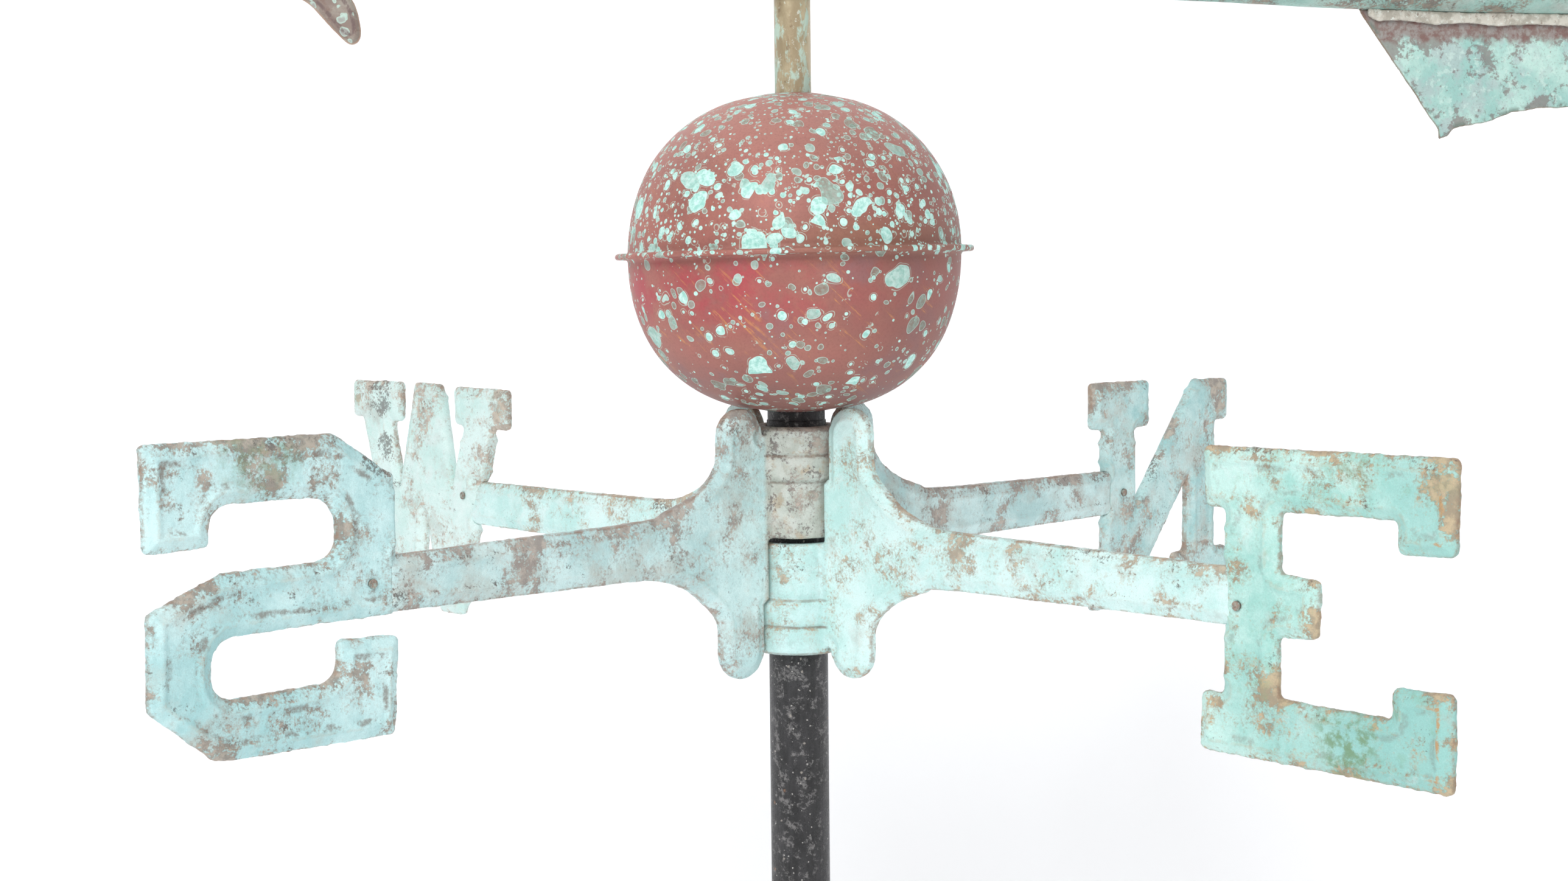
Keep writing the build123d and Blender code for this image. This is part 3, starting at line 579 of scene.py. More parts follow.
def spattered_copper():
    """Red-brown copper with tarnish zones, scratches and mint drops, painted shade towards the
    camera's right and at the foot, and a painted paler sheen on the crown. Steps of z are
    heights from the seam; steps of side are places to the camera's right."""
    g = Graph("spattered_copper")
    z = g.axis(2) - GLOBE_Z
    side = g.axis(0) * RIGHT_X + g.axis(1) * RIGHT_Y
    upper = g.step(z, over=(-3, 2))
    lower = 1.0 - upper
    large = g.patches(46, detail=4, rough=0.55, seed=31, over=(0.4, 0.62))
    middle = g.noise(12, detail=6, rough=0.66, seed=32)
    g.colour = g.mix(large, (174, 111, 101), (158, 104, 95))
    g.paint(g.step(middle, over=(0.42, 0.66), gives=(0, 0.5)), (172, 116, 102))
    # crimson tarnish in a zone under the seam, towards the camera's left
    band = g.step(z, over=(-40, -16)) * g.step(z, over=(2, -5))
    leftish = g.step(side, over=(30, -40), gives=(0.35, 1.0))
    cloud = g.patches(24, detail=5, rough=0.62, seed=33, over=(0.40, 0.60), gives=(0.10, 0.85))
    g.paint((band * leftish) * cloud, (182, 72, 82))
    olive = g.step(abs(z - 7), over=(2, 14), gives=FALL) * 0.5
    g.paint(olive * g.step(side, over=(-30, 40)), (150, 112, 84))
    dusk = g.patches(26, detail=4, rough=0.6, seed=38, over=(0.5, 0.66), gives=(0, 0.5))
    g.paint(dusk * lower, (142, 112, 116))
    # painted shade: the copper darkens towards the camera's right
    g.paint(g.step(side, over=(5, 68), gives=(0.0, 0.55)), (138, 94, 86))
    # rubbed orange scratches, long and slanting down to the right
    join = g.node("CombineXYZ")
    g.put(join.inputs[0], (side - z) * 0.7071 * 0.09)
    g.put(join.inputs[1], (side + z) * 0.7071 * 0.95)
    bent = g.warped(5, amount=1.6, seed=35, vector=g.out(join))
    scratch = g.patches(2.6, detail=7, rough=0.72, seed=34, over=(0.555, 0.625), vector=bent)
    zone = g.patches(21, detail=4, rough=0.6, seed=36, over=(0.50, 0.60))
    scratch = scratch * (zone * g.step(z, over=(4, -18), gives=(0.22, 1.0)))
    g.paint(scratch * 0.78, (206, 142, 92))
    # painted sheen: a paler crown; painted shade: a darker foot
    g.paint(g.step(z, over=(22, 62), gives=(0.0, 0.42)), (204, 154, 144))
    g.paint(g.step(z, over=(-34, -66), gives=(0.0, 0.5)), (116, 86, 82))
    mottled = g.noise(1.1, detail=5, rough=0.75, seed=37)
    g.paint(g.step(mottled, over=(0.45, 0.72), gives=(0, 0.35)), (124, 78, 72))
    height = mottled * 0.12
    covered = 0.0
    near = g.step(z, over=(56, 6)) * upper
    for size, radius, warp, amount, above, below, seed in GLOBE_DROPS:
        where = g.warped(warp, amount, seed, detail=0.6)
        distance, rand = g.cells(size, where, seed)
        share = (upper * above + lower * below) * (0.86 + near * 0.26)
        present = g.math("LESS_THAN", rand[0], share)
        gap = distance - radius * (0.40 + g.math("POWER", rand[1], 1.4) * 0.74)
        soft = 0.12 if size < 6 else 0.18
        spot = g.step(gap, over=(-soft, 0.0), gives=FALL) * present
        # solid mint near the seam, greyer and ringed elsewhere
        faded = g.step(rand[2] + near * 0.40, over=(0.25, 0.90))
        blotch = g.patches(1.8, detail=5, rough=0.7, seed=seed + 1, over=(0.38, 0.62))
        inside = g.mix(blotch, (126, 138, 124), (140, 186, 172))
        blotch = g.patches(2.4, detail=5, rough=0.7, seed=seed + 2, over=(0.38, 0.62))
        solid = g.mix(blotch, (158, 216, 204), (212, 248, 240))
        border = g.step(gap, over=(-0.55, -0.2))
        fill = g.mix(border * 0.75, g.mix(faded, inside, solid), (200, 236, 226))
        opacity = g.math("MAXIMUM", 0.52 + faded * 0.46, border * 0.85)
        g.paint(spot * opacity, fill)
        if size > 4:
            ring = g.step(abs(gap - 0.62), over=(0.07, 0.2), gives=FALL)
            ring = (ring * present) * g.math("GREATER_THAN", rand[2], 0.6)
            broken = g.patches(3.5, detail=3, rough=0.5, seed=seed + 3, over=(0.44, 0.5))
            g.paint(ring * broken * 0.6, (196, 220, 206))
        height = height + spot * 0.22
        covered = g.math("MAXIMUM", covered, spot)
    rough = (0.46 + covered * 0.24) + middle * 0.12
    return g.finish(rough, height, bump=0.4, metal=(1.0 - covered) * 0.12, spec=0.4)


def black_paint():
    g = Graph("black_paint")
    run = g.moved(stretch=(1, 1, 0.22))
    streak = g.patches(7, detail=6, rough=0.7, seed=61, over=(0.40, 0.66), vector=run)
    g.colour = g.mix(streak, (4, 4, 5), (46, 45, 47))
    scuff = g.patches(6, detail=8, rough=0.82, seed=62, over=(0.53, 0.60), gives=(0, 0.7))
    g.paint(scuff, (142, 140, 139))
    # flecks: cell size, full and outer radius, share of cells filled, seed, tone
    for size, full, outer, share, seed, tone in (
        (2.4, 0.20, 0.42, 0.40, 63, (222, 218, 212)),
        (4.2, 0.30, 0.75, 0.30, 64, (176, 168, 158)),
        (7.0, 0.4, 1.1, 0.24, 67, (140, 102, 74)),
    ):
        distance, rand = g.cells(size, g.warped(1.2, amount=0.5, seed=seed), seed)
        fleck = g.step(distance, over=(full, outer), gives=FALL)
        g.paint(fleck * g.math("LESS_THAN", rand[0], share) * 0.75, tone)
    pit = g.noise(2.2, detail=7, rough=0.75, seed=65)
    dull = g.noise(5, detail=6, rough=0.7, seed=66)
    return g.finish(0.12 + (dull * 0.34 + scuff * 0.35), pit * 2.2, bump=0.75, spec=0.6)


def aged_brass():
    g = Graph("aged_brass")
    run = g.moved(stretch=(1, 1, 0.45))
    base = g.patches(10, detail=5, rough=0.6, seed=71, over=(0.4, 0.62), vector=run)
    g.colour = g.mix(base, (164, 148, 118), (198, 184, 152))
    bent = g.warped(5, amount=2, seed=73, vector=run)
    green = g.patches(
        8, detail=6, rough=0.68, seed=72, over=(0.50, 0.58), gives=(0, 0.85), vector=bent
    )
    g.paint(green, (186, 214, 200))
    pale = g.patches(3.4, detail=6, rough=0.7, seed=74, over=(0.60, 0.66), gives=(0, 0.75))
    g.paint(pale, (222, 228, 216))
    darker = g.patches(
        4, detail=6, rough=0.7, seed=75, over=(0.60, 0.68), gives=(0, 0.6), vector=run
    )
    g.paint(darker, (120, 94, 66))
    height = g.noise(1.4, detail=4, rough=0.65, seed=76) + green * 0.3
    return g.finish(0.42 + green * 0.28, height, bump=0.3, metal=(1.0 - green) * 0.2)


def plain_steel():
    g = Graph("weathered_steel")
    base = g.patches(3, detail=5, rough=0.6, seed=81, over=(0.4, 0.65))
    g.colour = g.mix(base, (120, 118, 114), (86, 80, 74))
    rust = g.patches(1.6, detail=6, rough=0.7, seed=82, over=(0.55, 0.65), gives=(0, 0.7))
    g.paint(rust, (112, 72, 50))
    height = g.noise(0.8, detail=4, rough=0.6, seed=83)
    return g.finish(0.38 + rust * 0.4, height, bump=0.3, metal=0.6)


def sheet_feather():
    """Tail feathers: a dark red-brown heat band beside the solder, then mint with patches."""
    g = Graph("feather_sheet")
    edge = g.edge_distance()
    away = abs(g.axis(2) - ARROW_Z)
    uneven = away + (g.noise(12, detail=4, rough=0.6, seed=91) - 0.5) * 16
    big = g.noise(20, detail=4, rough=0.55, seed=92)
    g.colour = g.mix(g.step(big, over=(0.4, 0.62)), (188, 222, 212), (156, 200, 192))
    lilac = g.patches(13, detail=6, rough=0.66, seed=99, over=(0.47, 0.62), gives=(0, 0.62))
    g.paint(lilac, (178, 190, 190))
    pale = g.patches(5, detail=7, rough=0.7, seed=93, over=(0.54, 0.62), gives=(0, 0.55))
    g.paint(pale, (206, 230, 221))
    fleck = g.patches(1.2, detail=5, rough=0.8, seed=100, over=(0.53, 0.64), gives=(0, 0.5))
    g.paint(fleck, (140, 158, 152))
    coarse = g.noise(12, detail=5, rough=0.6, seed=94)
    field = coarse * 0.6 + g.noise(2.6, detail=5, rough=0.7, seed=95) * 0.4
    by_shaft = g.step(away, over=(52, 26), gives=(0.0, 0.05))
    by_edge = g.step(edge, over=(9, 2), gives=(0.0, 0.05))
    patch = g.step(field + (by_shaft + by_edge), over=(0.55, 0.60))
    g.paint(patch * 0.72, g.mix(big, (136, 116, 110), (116, 104, 104)))
    blotch = g.patches(4, detail=6, rough=0.7, seed=96, over=(0.42, 0.60))
    burnt = g.mix(blotch, (128, 94, 88), (152, 140, 136))
    g.paint(g.step(uneven, over=(31, 27)) * 0.9, burnt)
    border = g.step(edge, over=(3.4, 0.6))
    border = border * g.patches(9, detail=4, rough=0.6, seed=97, over=(0.46, 0.56))
    g.paint(border * 0.75, (106, 122, 112))
    g.paint(g.step(edge, over=(0.8, 0.15)) * 0.7, (140, 120, 98))
    height = g.noise(2.2, detail=5, rough=0.65, seed=98) + patch * -0.3
    return g.finish(0.58, height, bump=0.5, spec=0.4)


def tarnished_head():
    """Arrowhead sheet: brown tarnish with pale ringed drops, an orange rim and a dark fold."""
    g = Graph("tarnished_head")
    edge = g.edge_distance()
    broad = g.noise(9, detail=6, rough=0.66, seed=111)
    g.colour = g.mix(g.step(broad, over=(0.4, 0.62)), (140, 124, 115), (162, 154, 143))
    stain = g.patches(5, detail=6, rough=0.7, seed=112, over=(0.55, 0.64), gives=(0, 0.7))
    g.paint(stain, (130, 106, 96))
    height = g.noise(1.6, detail=5, rough=0.7, seed=113) * 0.5
    # drops: cell size, radius, share of cells filled, seed
    for size, radius, share, seed in (
        (3.4, 1.1, 0.55, 114),
        (6.0, 2.1, 0.75, 115),
        (8.5, 2.9, 0.5, 116),
    ):
        where = g.warped(4.5, amount=1.4, seed=seed, detail=1.0)
        distance, rand = g.cells(size, where, seed)
        present = g.math("LESS_THAN", rand[0], share)
        gap = distance - radius * (0.5 + rand[1] * 0.6)
        spot = g.step(gap, over=(-0.25, 0.0), gives=FALL) * present
        border = g.step(gap, over=(-0.9, -0.3))
        g.paint(spot * 0.85, g.mix(border, (166, 170, 164), (190, 216, 204)))
        height = height + spot * 0.25
    fold = abs(edge - (3.0 + (broad - 0.5) * 3.0))
    fold = g.step(fold, over=(0.4, 1.3), gives=FALL)
    broken = g.patches(6, detail=5, rough=0.7, seed=117, over=(0.42, 0.56), gives=(0, 0.8))
    g.paint(fold * broken, (106, 86, 84))
    g.paint(g.step(edge, over=(0.15, 0.7), gives=(0.6, 0.0)), (190, 150, 122))
    return g.finish(0.55, height, bump=0.5, spec=0.45)


def worn_rivet():
    g = Graph("worn_rivet")
    base = g.patches(1.6, detail=5, rough=0.7, seed=121, over=(0.42, 0.60))
    g.colour = g.mix(base, (158, 140, 126), (120, 104, 94))
    film = g.patches(1.1, detail=5, rough=0.7, seed=122, over=(0.50, 0.60), gives=(0, 0.6))
    g.paint(film, (166, 206, 198))
    height = g.noise(0.6, detail=4, rough=0.6, seed=123)
    return g.finish(0.6, height, bump=0.4, spec=0.4)


def lead_solder():
    g = Graph("lead_solder")
    base = g.patches(5, detail=5, rough=0.6, seed=101, over=(0.4, 0.62))
    g.colour = g.mix(base, (212, 207, 195), (178, 172, 159))
    pale = g.patches(2.2, detail=6, rough=0.7, seed=102, over=(0.55, 0.64), gives=(0, 0.8))
    g.paint(pale, (226, 230, 222))
    brown = g.patches(3.2, detail=6, rough=0.75, seed=103, over=(0.60, 0.66), gives=(0, 0.7))
    g.paint(brown, (126, 96, 80))
    height = g.noise(1.3, detail=5, rough=0.7, seed=104)
    return g.finish(0.6, height, bump=0.6, spec=0.45)


# columns as in spots_on: along, up, radius, wear, dark, green, teal
SPOTS_S = spots_on("Y", (
    (-281, 59, 24, 0.065, 0.060, 0.40), (-262, 60, 12, 0.075, 0.020),
    (-288, -44, 52, 0, 0, 0, 0.45), (-251, 50, 13, 0.075), (-313, 57, 13, 0.030, 0.045),
    (-305, 49, 10, 0.080), (-320, 42, 8, 0.075), (-276, 46, 9, 0.055),
    (-236, 28, 17, 0.045, 0.010), (-318, -36, 9, 0.075, 0.045), (-308, -45, 9, 0.070, 0.025),
    (-298, -55, 10, 0.070, 0.020), (-278, -50, 8, 0.055, 0.035), (-258, -46, 11, 0.060, 0.025),
    (-238, -31, 8, 0.070), (-224, -24, 6, 0.060), (-225, -54, 8, 0.060, 0.015),
    (-266, 3, 9, 0.055, 0.015), (-318, -14, 5, 0.060, 0.050),
))
SPOTS_E = spots_on("X", (
    (234, 43, 5, 0.080), (255, 32, 10, 0.060, 0.010), (265, 29, 4, 0.050, 0.070),
    (312, 53, 8, 0.065), (333, 46, 11, 0.060, 0.020, 0.2), (338, 31, 9, 0.065),
    (320, 26, 4, 0.045, 0.060, 0.2), (268, -5, 7, 0.065), (280, -8, 8, 0.070),
    (257, -29, 5, 0.040, 0.080), (297, -52, 19, 0.010, 0, 0.85), (307, -48, 6, 0.075, 0, 0.3),
    (317, -36, 7, 0.045, 0.060, 0.4), (338, -45, 7, 0.065), (236, -45, 7, 0.050),
    (300, 50, 14, 0.030, 0, 0.35), (330, -44, 50, 0, 0, 0, 0.85), (285, -54, 34, 0, 0, 0, 0.55),
    (338, 38, 40, 0, 0, 0, 0.70), (255, -40, 26, 0, 0, 0, 0.35),
))
SPOTS_W = spots_on("X", (
    (-331, 49, 17, 0.030, 0.150), (-325, 20, 13, 0.025, 0.125), (-318, -2, 12, 0.030, 0.100),
    (-223, 51, 11, 0.060, 0, 0.15), (-286, 40, 10, 0.045), (-352, 50, 8, 0.050, 0.030, 0.3),
))
SPOTS_N = spots_on("Y", (
    (213, 53, 14, 0.060), (231, -3, 11, 0.055), (231, -31, 10, 0.050, 0.010),
    (309, 49, 12, 0.055), (290, 10, 9, 0.050),
))
SPOTS_NS = spots_on("Y", (
    (-150, 4, 30, 0.035, 0.005), (-107, 6, 18, 0.040, 0.010), (-76, 12, 14, 0.035),
    (-36, 50, 13, 0.020, 0.045), (-198, 2, 12, 0.035), (130, 3, 16, 0.055),
    (90, 4, 14, 0.040), (175, 3, 18, 0.020),
))
SPOTS_EW = spots_on("X", (
    (211, -5, 8, 0.060), (198, 3, 9, 0.050), (112, 2, 17, 0.040), (62, -8, 15, 0.050),
    (76, 4, 12, 0.045), (44, 46, 9, 0.045), (150, -3, 15, 0.025),
))

MINT_S = verdigris(
    "verdigris_south", (214, 246, 246), (180, 222, 223), tan=(186, 168, 152),
    brown=(148, 132, 120), seed=3, valley=0.75, teal=(150, 206, 208), grey=-0.01,
    dark=-0.012, bloom=0.3, spots=SPOTS_S,
)
MINT_E = verdigris(
    "verdigris_east", (206, 242, 234), (164, 218, 208), tan=(206, 178, 140),
    brown=(168, 142, 114), seed=17, wear=0.004, chalky=-0.01, grey=-0.08, dark=-0.035,
    lines=0.20, line_zone=(0, 330.0, 0.85), bloom=0.4, valley=0.35, green=0.25, spots=SPOTS_E,
)
MINT_W = verdigris(
    "verdigris_west", (230, 251, 247), (208, 240, 234), tan=(214, 196, 178),
    brown=(178, 160, 146), seed=29, chalky=0.05, grey=-0.02, dark=-0.02, bloom=0.6,
    spots=SPOTS_W,
)
MINT_N = verdigris(
    "verdigris_north", (210, 238, 236), (166, 212, 212), tan=(198, 182, 166),
    brown=(156, 140, 130), seed=43, wear=0.010, grey=0.04, dark=-0.02, spots=SPOTS_N,
)
ARMS_NS = verdigris(
    "verdigris_arms_ns", (217, 243, 242), (186, 220, 220), tan=(192, 176, 164),
    brown=(156, 140, 132), seed=57, wear=0.010, grey=0.05, dark=-0.006, lines=0.08,
    bloom=0.4, collar=((204, 206, 197), (182, 184, 172), 0.85), spots=SPOTS_NS,
)
ARMS_EW = verdigris(
    "verdigris_arms_ew", (224, 251, 248), (196, 237, 232), tan=(204, 184, 158),
    brown=(172, 150, 128), seed=71, chalky=0.02, grey=-0.05, dark=-0.03, lines=0.10,
    collar=((206, 238, 236), (190, 228, 224), 0.12), spots=SPOTS_EW,
)
ARROW_SKIN = verdigris(
    "verdigris_arrow", (176, 210, 200), (138, 182, 172), tan=(160, 140, 124),
    brown=(120, 104, 96), seed=83, wear=0.030, grey=0.05, dark=-0.006, lines=0.0, bloom=0.4,
)
HEAD_SKIN = tarnished_head()
RIVET = worn_rivet()
GLOBE = spattered_copper()
PAINT = black_paint()
BRASS = aged_brass()
STEEL = plain_steel()
FEATHER = sheet_feather()
SOLDER = lead_solder()


def dress(ob, material, body, node):
    """Give an object its material and put it in the place of its CAD node."""
    ob.data.materials.clear()
    ob.data.materials.append(material)
    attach(ob, body)
    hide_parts(node)


# ---------------------------------------------------------------- letters and arms
# Plates are thin along an axis: 0 (X) for north-south, 1 (Y) for east-west.
ARM_Z = (HUB + 2.3, HUB - 2.3)
PLATE_HALF = 4.0  # half thickness of the CAD plates
FACE_HALF = 3.98  # half thickness at the crest of the bevel
BEVEL = 5.0  # width of the bevel
LETTER_RIM, ARM_RIM = 1.45, 1.8  # half thickness at the outline
LETTER_DIP, ARM_DIP = 0.6, 0.25  # how far the face lies below the crest
TENON_HALF = 1.75
COLLAR_REACH = 22.0  # the hub's collar ends here
JOINT_DEPTH = 22.0  # how far past its joint a letter's outline is ignored

# thickness axis, joint's place along the arm, then where the letter's own edge crosses
# the joint: at the arm's top and at its foot
JOINTS = {
    "letter_n": (0, 218.8, 216.0, 216.0),
    "letter_s": (0, -222.6, -219.8, -219.8),
    "letter_e": (1, 243.0, 240.3, 240.3),
    "letter_w": (1, -246.0, -236.0, -242.6),
}
RIMS = {}


def profile(distance, rim_half, dip):
    """Half thickness of a bevelled bar at a distance inside its outline."""
    rise = np.clip(distance / BEVEL, 0, 1)
    slope = rim_half + (FACE_HALF - rim_half) * rise
    return slope - dip * ramp(distance, BEVEL, BEVEL + 2.6)


def crest_patches(co, seed):
    """0 to 1, where along the border the crest stands proud."""
    return np.clip(0.4 + 2.5 * fbm(co, 40, seed + 70), 0, 1)


def outline_off_joint(letter, half_height, start):
    """The letter's outline without its walls from start to past the joint."""
    axis, joint, _, _ = JOINTS[letter]
    side = 1 if joint > 0 else -1

    def off_joint(p):
        within = abs(p[1] - ARM_Z[axis]) < half_height
        return not (within and start < (p[0] - joint) * side < JOINT_DEPTH)

    return outline_of(letter, axis, off_joint)


def joint_rim(letter):
    """Outline of a letter and its arm as one shape, without the walls of their joint."""
    axis, joint, _, _ = JOINTS[letter]
    side = 1 if joint > 0 else -1
    arm_edges = []
    for up in (1, -1):
        inner = (side * 100.0, ARM_Z[axis] + up * 11.9)
        outer = (joint - side * 3.4, ARM_Z[axis] + up * 11.2)
        arm_edges.append((*inner, *outer))
    own = outline_off_joint(letter, half_height=11.6, start=-math.inf)
    return np.concatenate([own, np.array(arm_edges)])


def letter_edges(letter):
    """The letter's full outline, straight across the joint and without the tenon's slot."""
    axis, _, top, foot = JOINTS[letter]
    across = (top, ARM_Z[axis] + 11.2, foot, ARM_Z[axis] - 11.2)
    own = outline_off_joint(letter, half_height=11.25, start=-8.0)
    return np.concatenate([own, np.array([across])])


def cast_letter(letter, material, seed):
    axis, joint, _, _ = JOINTS[letter]
    ob = remeshed(letter, "cast_" + letter, voxel=0.8)
    co = get_co(ob.data)
    flat = co[:, [1 - axis, 2]]
    RIMS[letter] = joint_rim(letter)
    own = distance_to(flat, letter_edges(letter))
    distance = distance_to(flat, RIMS[letter])
    # the CAD edge is chamfered by 1.5 over 2.2
    was = PLATE_HALF - 1.5 * np.clip(1 - own / 2.2, 0, 1)
    crest = FACE_HALF + 0.45 * ridge(distance, 5.0, 1.2) * crest_patches(co, seed)
    new = profile(distance, LETTER_RIM, LETTER_DIP) * crest / FACE_HALF
    near_joint = np.abs(co[:, 2] - ARM_Z[axis]) < 13.0
    near_joint &= np.abs(co[:, 1 - axis] - joint) < 26.0
    new = np.where(near_joint, np.maximum(new, 1.0), new)
    co[:, axis] *= new / was
    co[:, axis] += 0.35 * fbm(co, 38.0, seed)
    set_co(ob.data, co)
    put_edge(ob.data, distance)
    crust(ob, fine=0.11, coarse=0.26, seed=seed, edge=0.46, distance=distance)
    dress(ob, material, MAST, letter)


def cast_arms(node, axis, material, seed, end):
    """A pair of arms with its half of the hub; end is the arms' reach."""
    ob = remeshed(node, "cast_" + node, voxel=0.75)
    co = get_co(ob.data)
    reach = np.abs(co[:, 1 - axis])
    plate = outline_of(node, axis, lambda p: 22.9 < abs(p[0]) < end - 30.0)
    rims = [RIMS[letter] for letter, joint in JOINTS.items() if joint[0] == axis]
    distance = distance_to(co[:, [1 - axis, 2]], np.concatenate([plate] + rims))
    # the CAD edge is rounded by a radius of 2.2
    round_in = np.clip(2.2 - distance, 0, 2.2)
    was = PLATE_HALF - 2.2 + np.sqrt(np.clip(2.2**2 - round_in**2, 0, None))
    side = np.where(co[:, 1 - axis] > 0, 1, -1)
    tenon = (np.abs(co[:, axis]) < TENON_HALF) & (reach > end - 8.0)
    blend = ramp(reach, 21.5, 26.0) * np.where(tenon, 0.0, 1.0)
    crest = 1 + 0.10 * ridge(distance, 5.2, 1.3) * crest_patches(co, seed)
    at_letter = ramp(reach, 90.0, end - 20.0)
    low = profile(distance, ARM_RIM, ARM_DIP)
    high = profile(distance, LETTER_RIM, LETTER_DIP)
    factor = (low * (1 - at_letter) + high * at_letter) * crest / np.maximum(was, 1.9)
    co[:, axis] *= 1 + (factor - 1) * blend
    # two grooves turned in the collar, above the hub for axis 0 and below it for axis 1
    level = np.abs(co[:, 2] - HUB)
    radius = np.hypot(co[:, 0], co[:, 1])
    turned = (radius > 17.5) & (reach < 22.4)
    turned &= np.sign(co[:, 2] - HUB) == (1 if axis == 0 else -1)
    cut = 0.75 * ridge(level, 38.7, 0.75) + 0.5 * ridge(level, 26.2, 0.9)
    co[:, :2] *= (1 - np.where(turned, cut, 0.0) / np.maximum(radius, 1.0))[:, None]
    # stretch the arm's shoulders towards the letter
    shell = np.abs(co[:, axis]) > TENON_HALF
    stretch = side * 0.9 * ramp(reach, end - 3.0, end - 0.3)
    co[:, 1 - axis] += np.where(shell, stretch, 0.0)
    set_co(ob.data, co)
    distance = np.where(reach > COLLAR_REACH, distance, EDGE_FAR)
    put_edge(ob.data, distance)
    crust(ob, fine=0.09, coarse=0.18, seed=seed, edge=0.30, distance=distance)
    dress(ob, material, MAST, node)


cast_letter("letter_n", MINT_N, seed=5)
cast_letter("letter_s", MINT_S, seed=6)
cast_letter("letter_e", MINT_E, seed=7)
cast_letter("letter_w", MINT_W, seed=8)
cast_arms("north_south_arms", 0, ARMS_NS, seed=15, end=222.0)
cast_arms("east_west_arms", 1, ARMS_EW, seed=16, end=243.0)

# ---------------------------------------------------------------- globe
GLOBE_R, GLOBE_HALF_HEIGHT = 75.0, 72.0
GLOBE_SHEET = 0.9
GLOBE_SEGMENTS, ARC_STEPS = 288, 90

# rims at the seam: radius, distance from the seam towards the half's own pole
UPPER_FLANGE = (
    (79.0, 0.05), (79.0, 0.55), (78.0, 0.62), (77.0, 0.68), (76.1, 0.95), (75.45, 1.5),
)
LOWER_FLANGE = (
    (78.6, -0.02), (78.6, -0.66), (78.0, -1.18), (78.8, -1.42), (79.7, -1.34),
    (80.3, -0.95), (80.55, -0.3), (80.5, 0.4), (80.1, 1.0), (79.3, 1.25),
    (78.2, 1.0), (77.0, 0.98), (76.1, 1.12), (75.4, 1.7),
)


def dented(co):
    """Slight dents and an uneven rolled rim that sits a little askew."""
    z = co[:, 2] - GLOBE_Z
    r = np.hypot(co[:, 0], co[:, 1])
    out = co.copy()
    radial = co - (0, 0, GLOBE_Z)
    radial /= np.linalg.norm(radial, axis=1)[:, None]
    off_pole = ramp(np.abs(z), 72, 58)
    out += radial * (off_pole * (0.30 * fbm(co, 44, 61) + 0.05 * fbm(co, 12, 62)))[:, None]
    side = co[:, :2] @ np.array([RIGHT_X, RIGHT_Y])
    front = co[:, :2] @ np.array([RIGHT_Y, -RIGHT_X])
    out[:, 2] += ramp(np.abs(z), 44, 3) * (side * 0.016 + front * 0.026)
    flange = ramp(r, 75.5, 79)
    out[:, 2] += flange * 0.45 * fbm(co, 26, 63)
    out[:, :2] *= (1 + flange * 0.006 * fbm(co, 30, 64))[:, None]
    return out


def arc(a, b, start, end, up):
    """A quarter of the globe's section, fuller at its shoulders than an ellipse.
    a and b are the half axes, start and end degrees above the seam."""
    swell = 1.95 if up > 0 else 3.4
    points = []
    for i in range(ARC_STEPS + 1):
        t = math.radians(start + (end - start) * i / ARC_STEPS)
        x, z = a * math.cos(t), b * math.sin(t)
        out = swell * math.sin(2 * t) ** 2 * min(1.0, max(0.0, (x - 17.0) / 10.0))
        nx, nz = math.cos(t) / a, math.sin(t) / b
        size = math.hypot(nx, nz)
        points.append((x + out * nx / size, GLOBE_Z + up * (z + out * nz / size)))
    return points


def globe_half(name, node, up, pole_r, flange):
    """Half of the hollow globe; up is 1 or -1, pole_r the radius of its opening."""
    inner_r = GLOBE_R - GLOBE_SHEET
    top_outer = math.degrees(math.acos(pole_r / GLOBE_R))
    top_inner = math.degrees(math.acos(pole_r / inner_r))
    outer = arc(GLOBE_R, GLOBE_HALF_HEIGHT, 2.0, top_outer, up)
    inner = arc(inner_r, GLOBE_HALF_HEIGHT - GLOBE_SHEET, top_inner, 0.4, up)
    rim = [(r, GLOBE_Z + up * away) for r, away in flange]
    loop = np.array(inner + rim + outer)
    x, y = spin(loop[:, 0], GLOBE_SEGMENTS)
    co = np.stack([x, y, np.tile(loop[:, 1], GLOBE_SEGMENTS)], 1)
    ob = turned_object(name, dented(co), GLOBE_SEGMENTS)
    dress(ob, GLOBE, MAST, node)


globe_half("spun_globe_upper", "globe_upper_half", 1, 8.6, UPPER_FLANGE)
globe_half("spun_globe_lower", "globe_lower_half", -1, 6.25, LOWER_FLANGE)

# ---------------------------------------------------------------- arrow
HEAD_DIR = np.array([math.cos(ARROW_ANGLE), math.sin(ARROW_ANGLE)])
FLAT_DIR = np.array([math.sin(ARROW_ANGLE), -math.cos(ARROW_ANGLE)])

# body of the arrow: place along it towards the point, outer radius
SHAFT_STATIONS = (
    (-430, 15.4), (-405, 16.4), (-360, 17.0), (-310, 16.2), (-262, 14.6), (-230, 13.2),
    (-182, 11.0), (-120, 8.7), (-60, 7.1), (0, 6.2), (50, 5.8), (100, 5.5), (150, 5.2),
    (200, 4.9),
)
SHAFT_SHEET = 0.95
SHAFT_STEPS, SHAFT_SEGMENTS = 420, 72


def arrow_frame(co):
    """Along the arrow to its point, away from its plane, up from its axis."""
    return co[:, :2] @ HEAD_DIR, co[:, :2] @ FLAT_DIR, co[:, 2] - ARROW_Z


def from_arrow(x, away, z):
    co = np.empty((len(x), 3))
    co[:, :2] = x[:, None] * HEAD_DIR + away[:, None] * FLAT_DIR
    co[:, 2] = z + ARROW_Z
    return co


def arrow_edge_distance(node, x, z):
    """Distance in the arrow's plane from each point to the CAD node's outline."""
    me = NODES[node].data
    cad_x, _, cad_z = arrow_frame(get_co(me))
    outline = wall_segments(me, np.stack([cad_x, cad_z], 1), np.array([*FLAT_DIR, 0]), 0.05)
    return distance_to(np.stack([x, z], 1), outline)


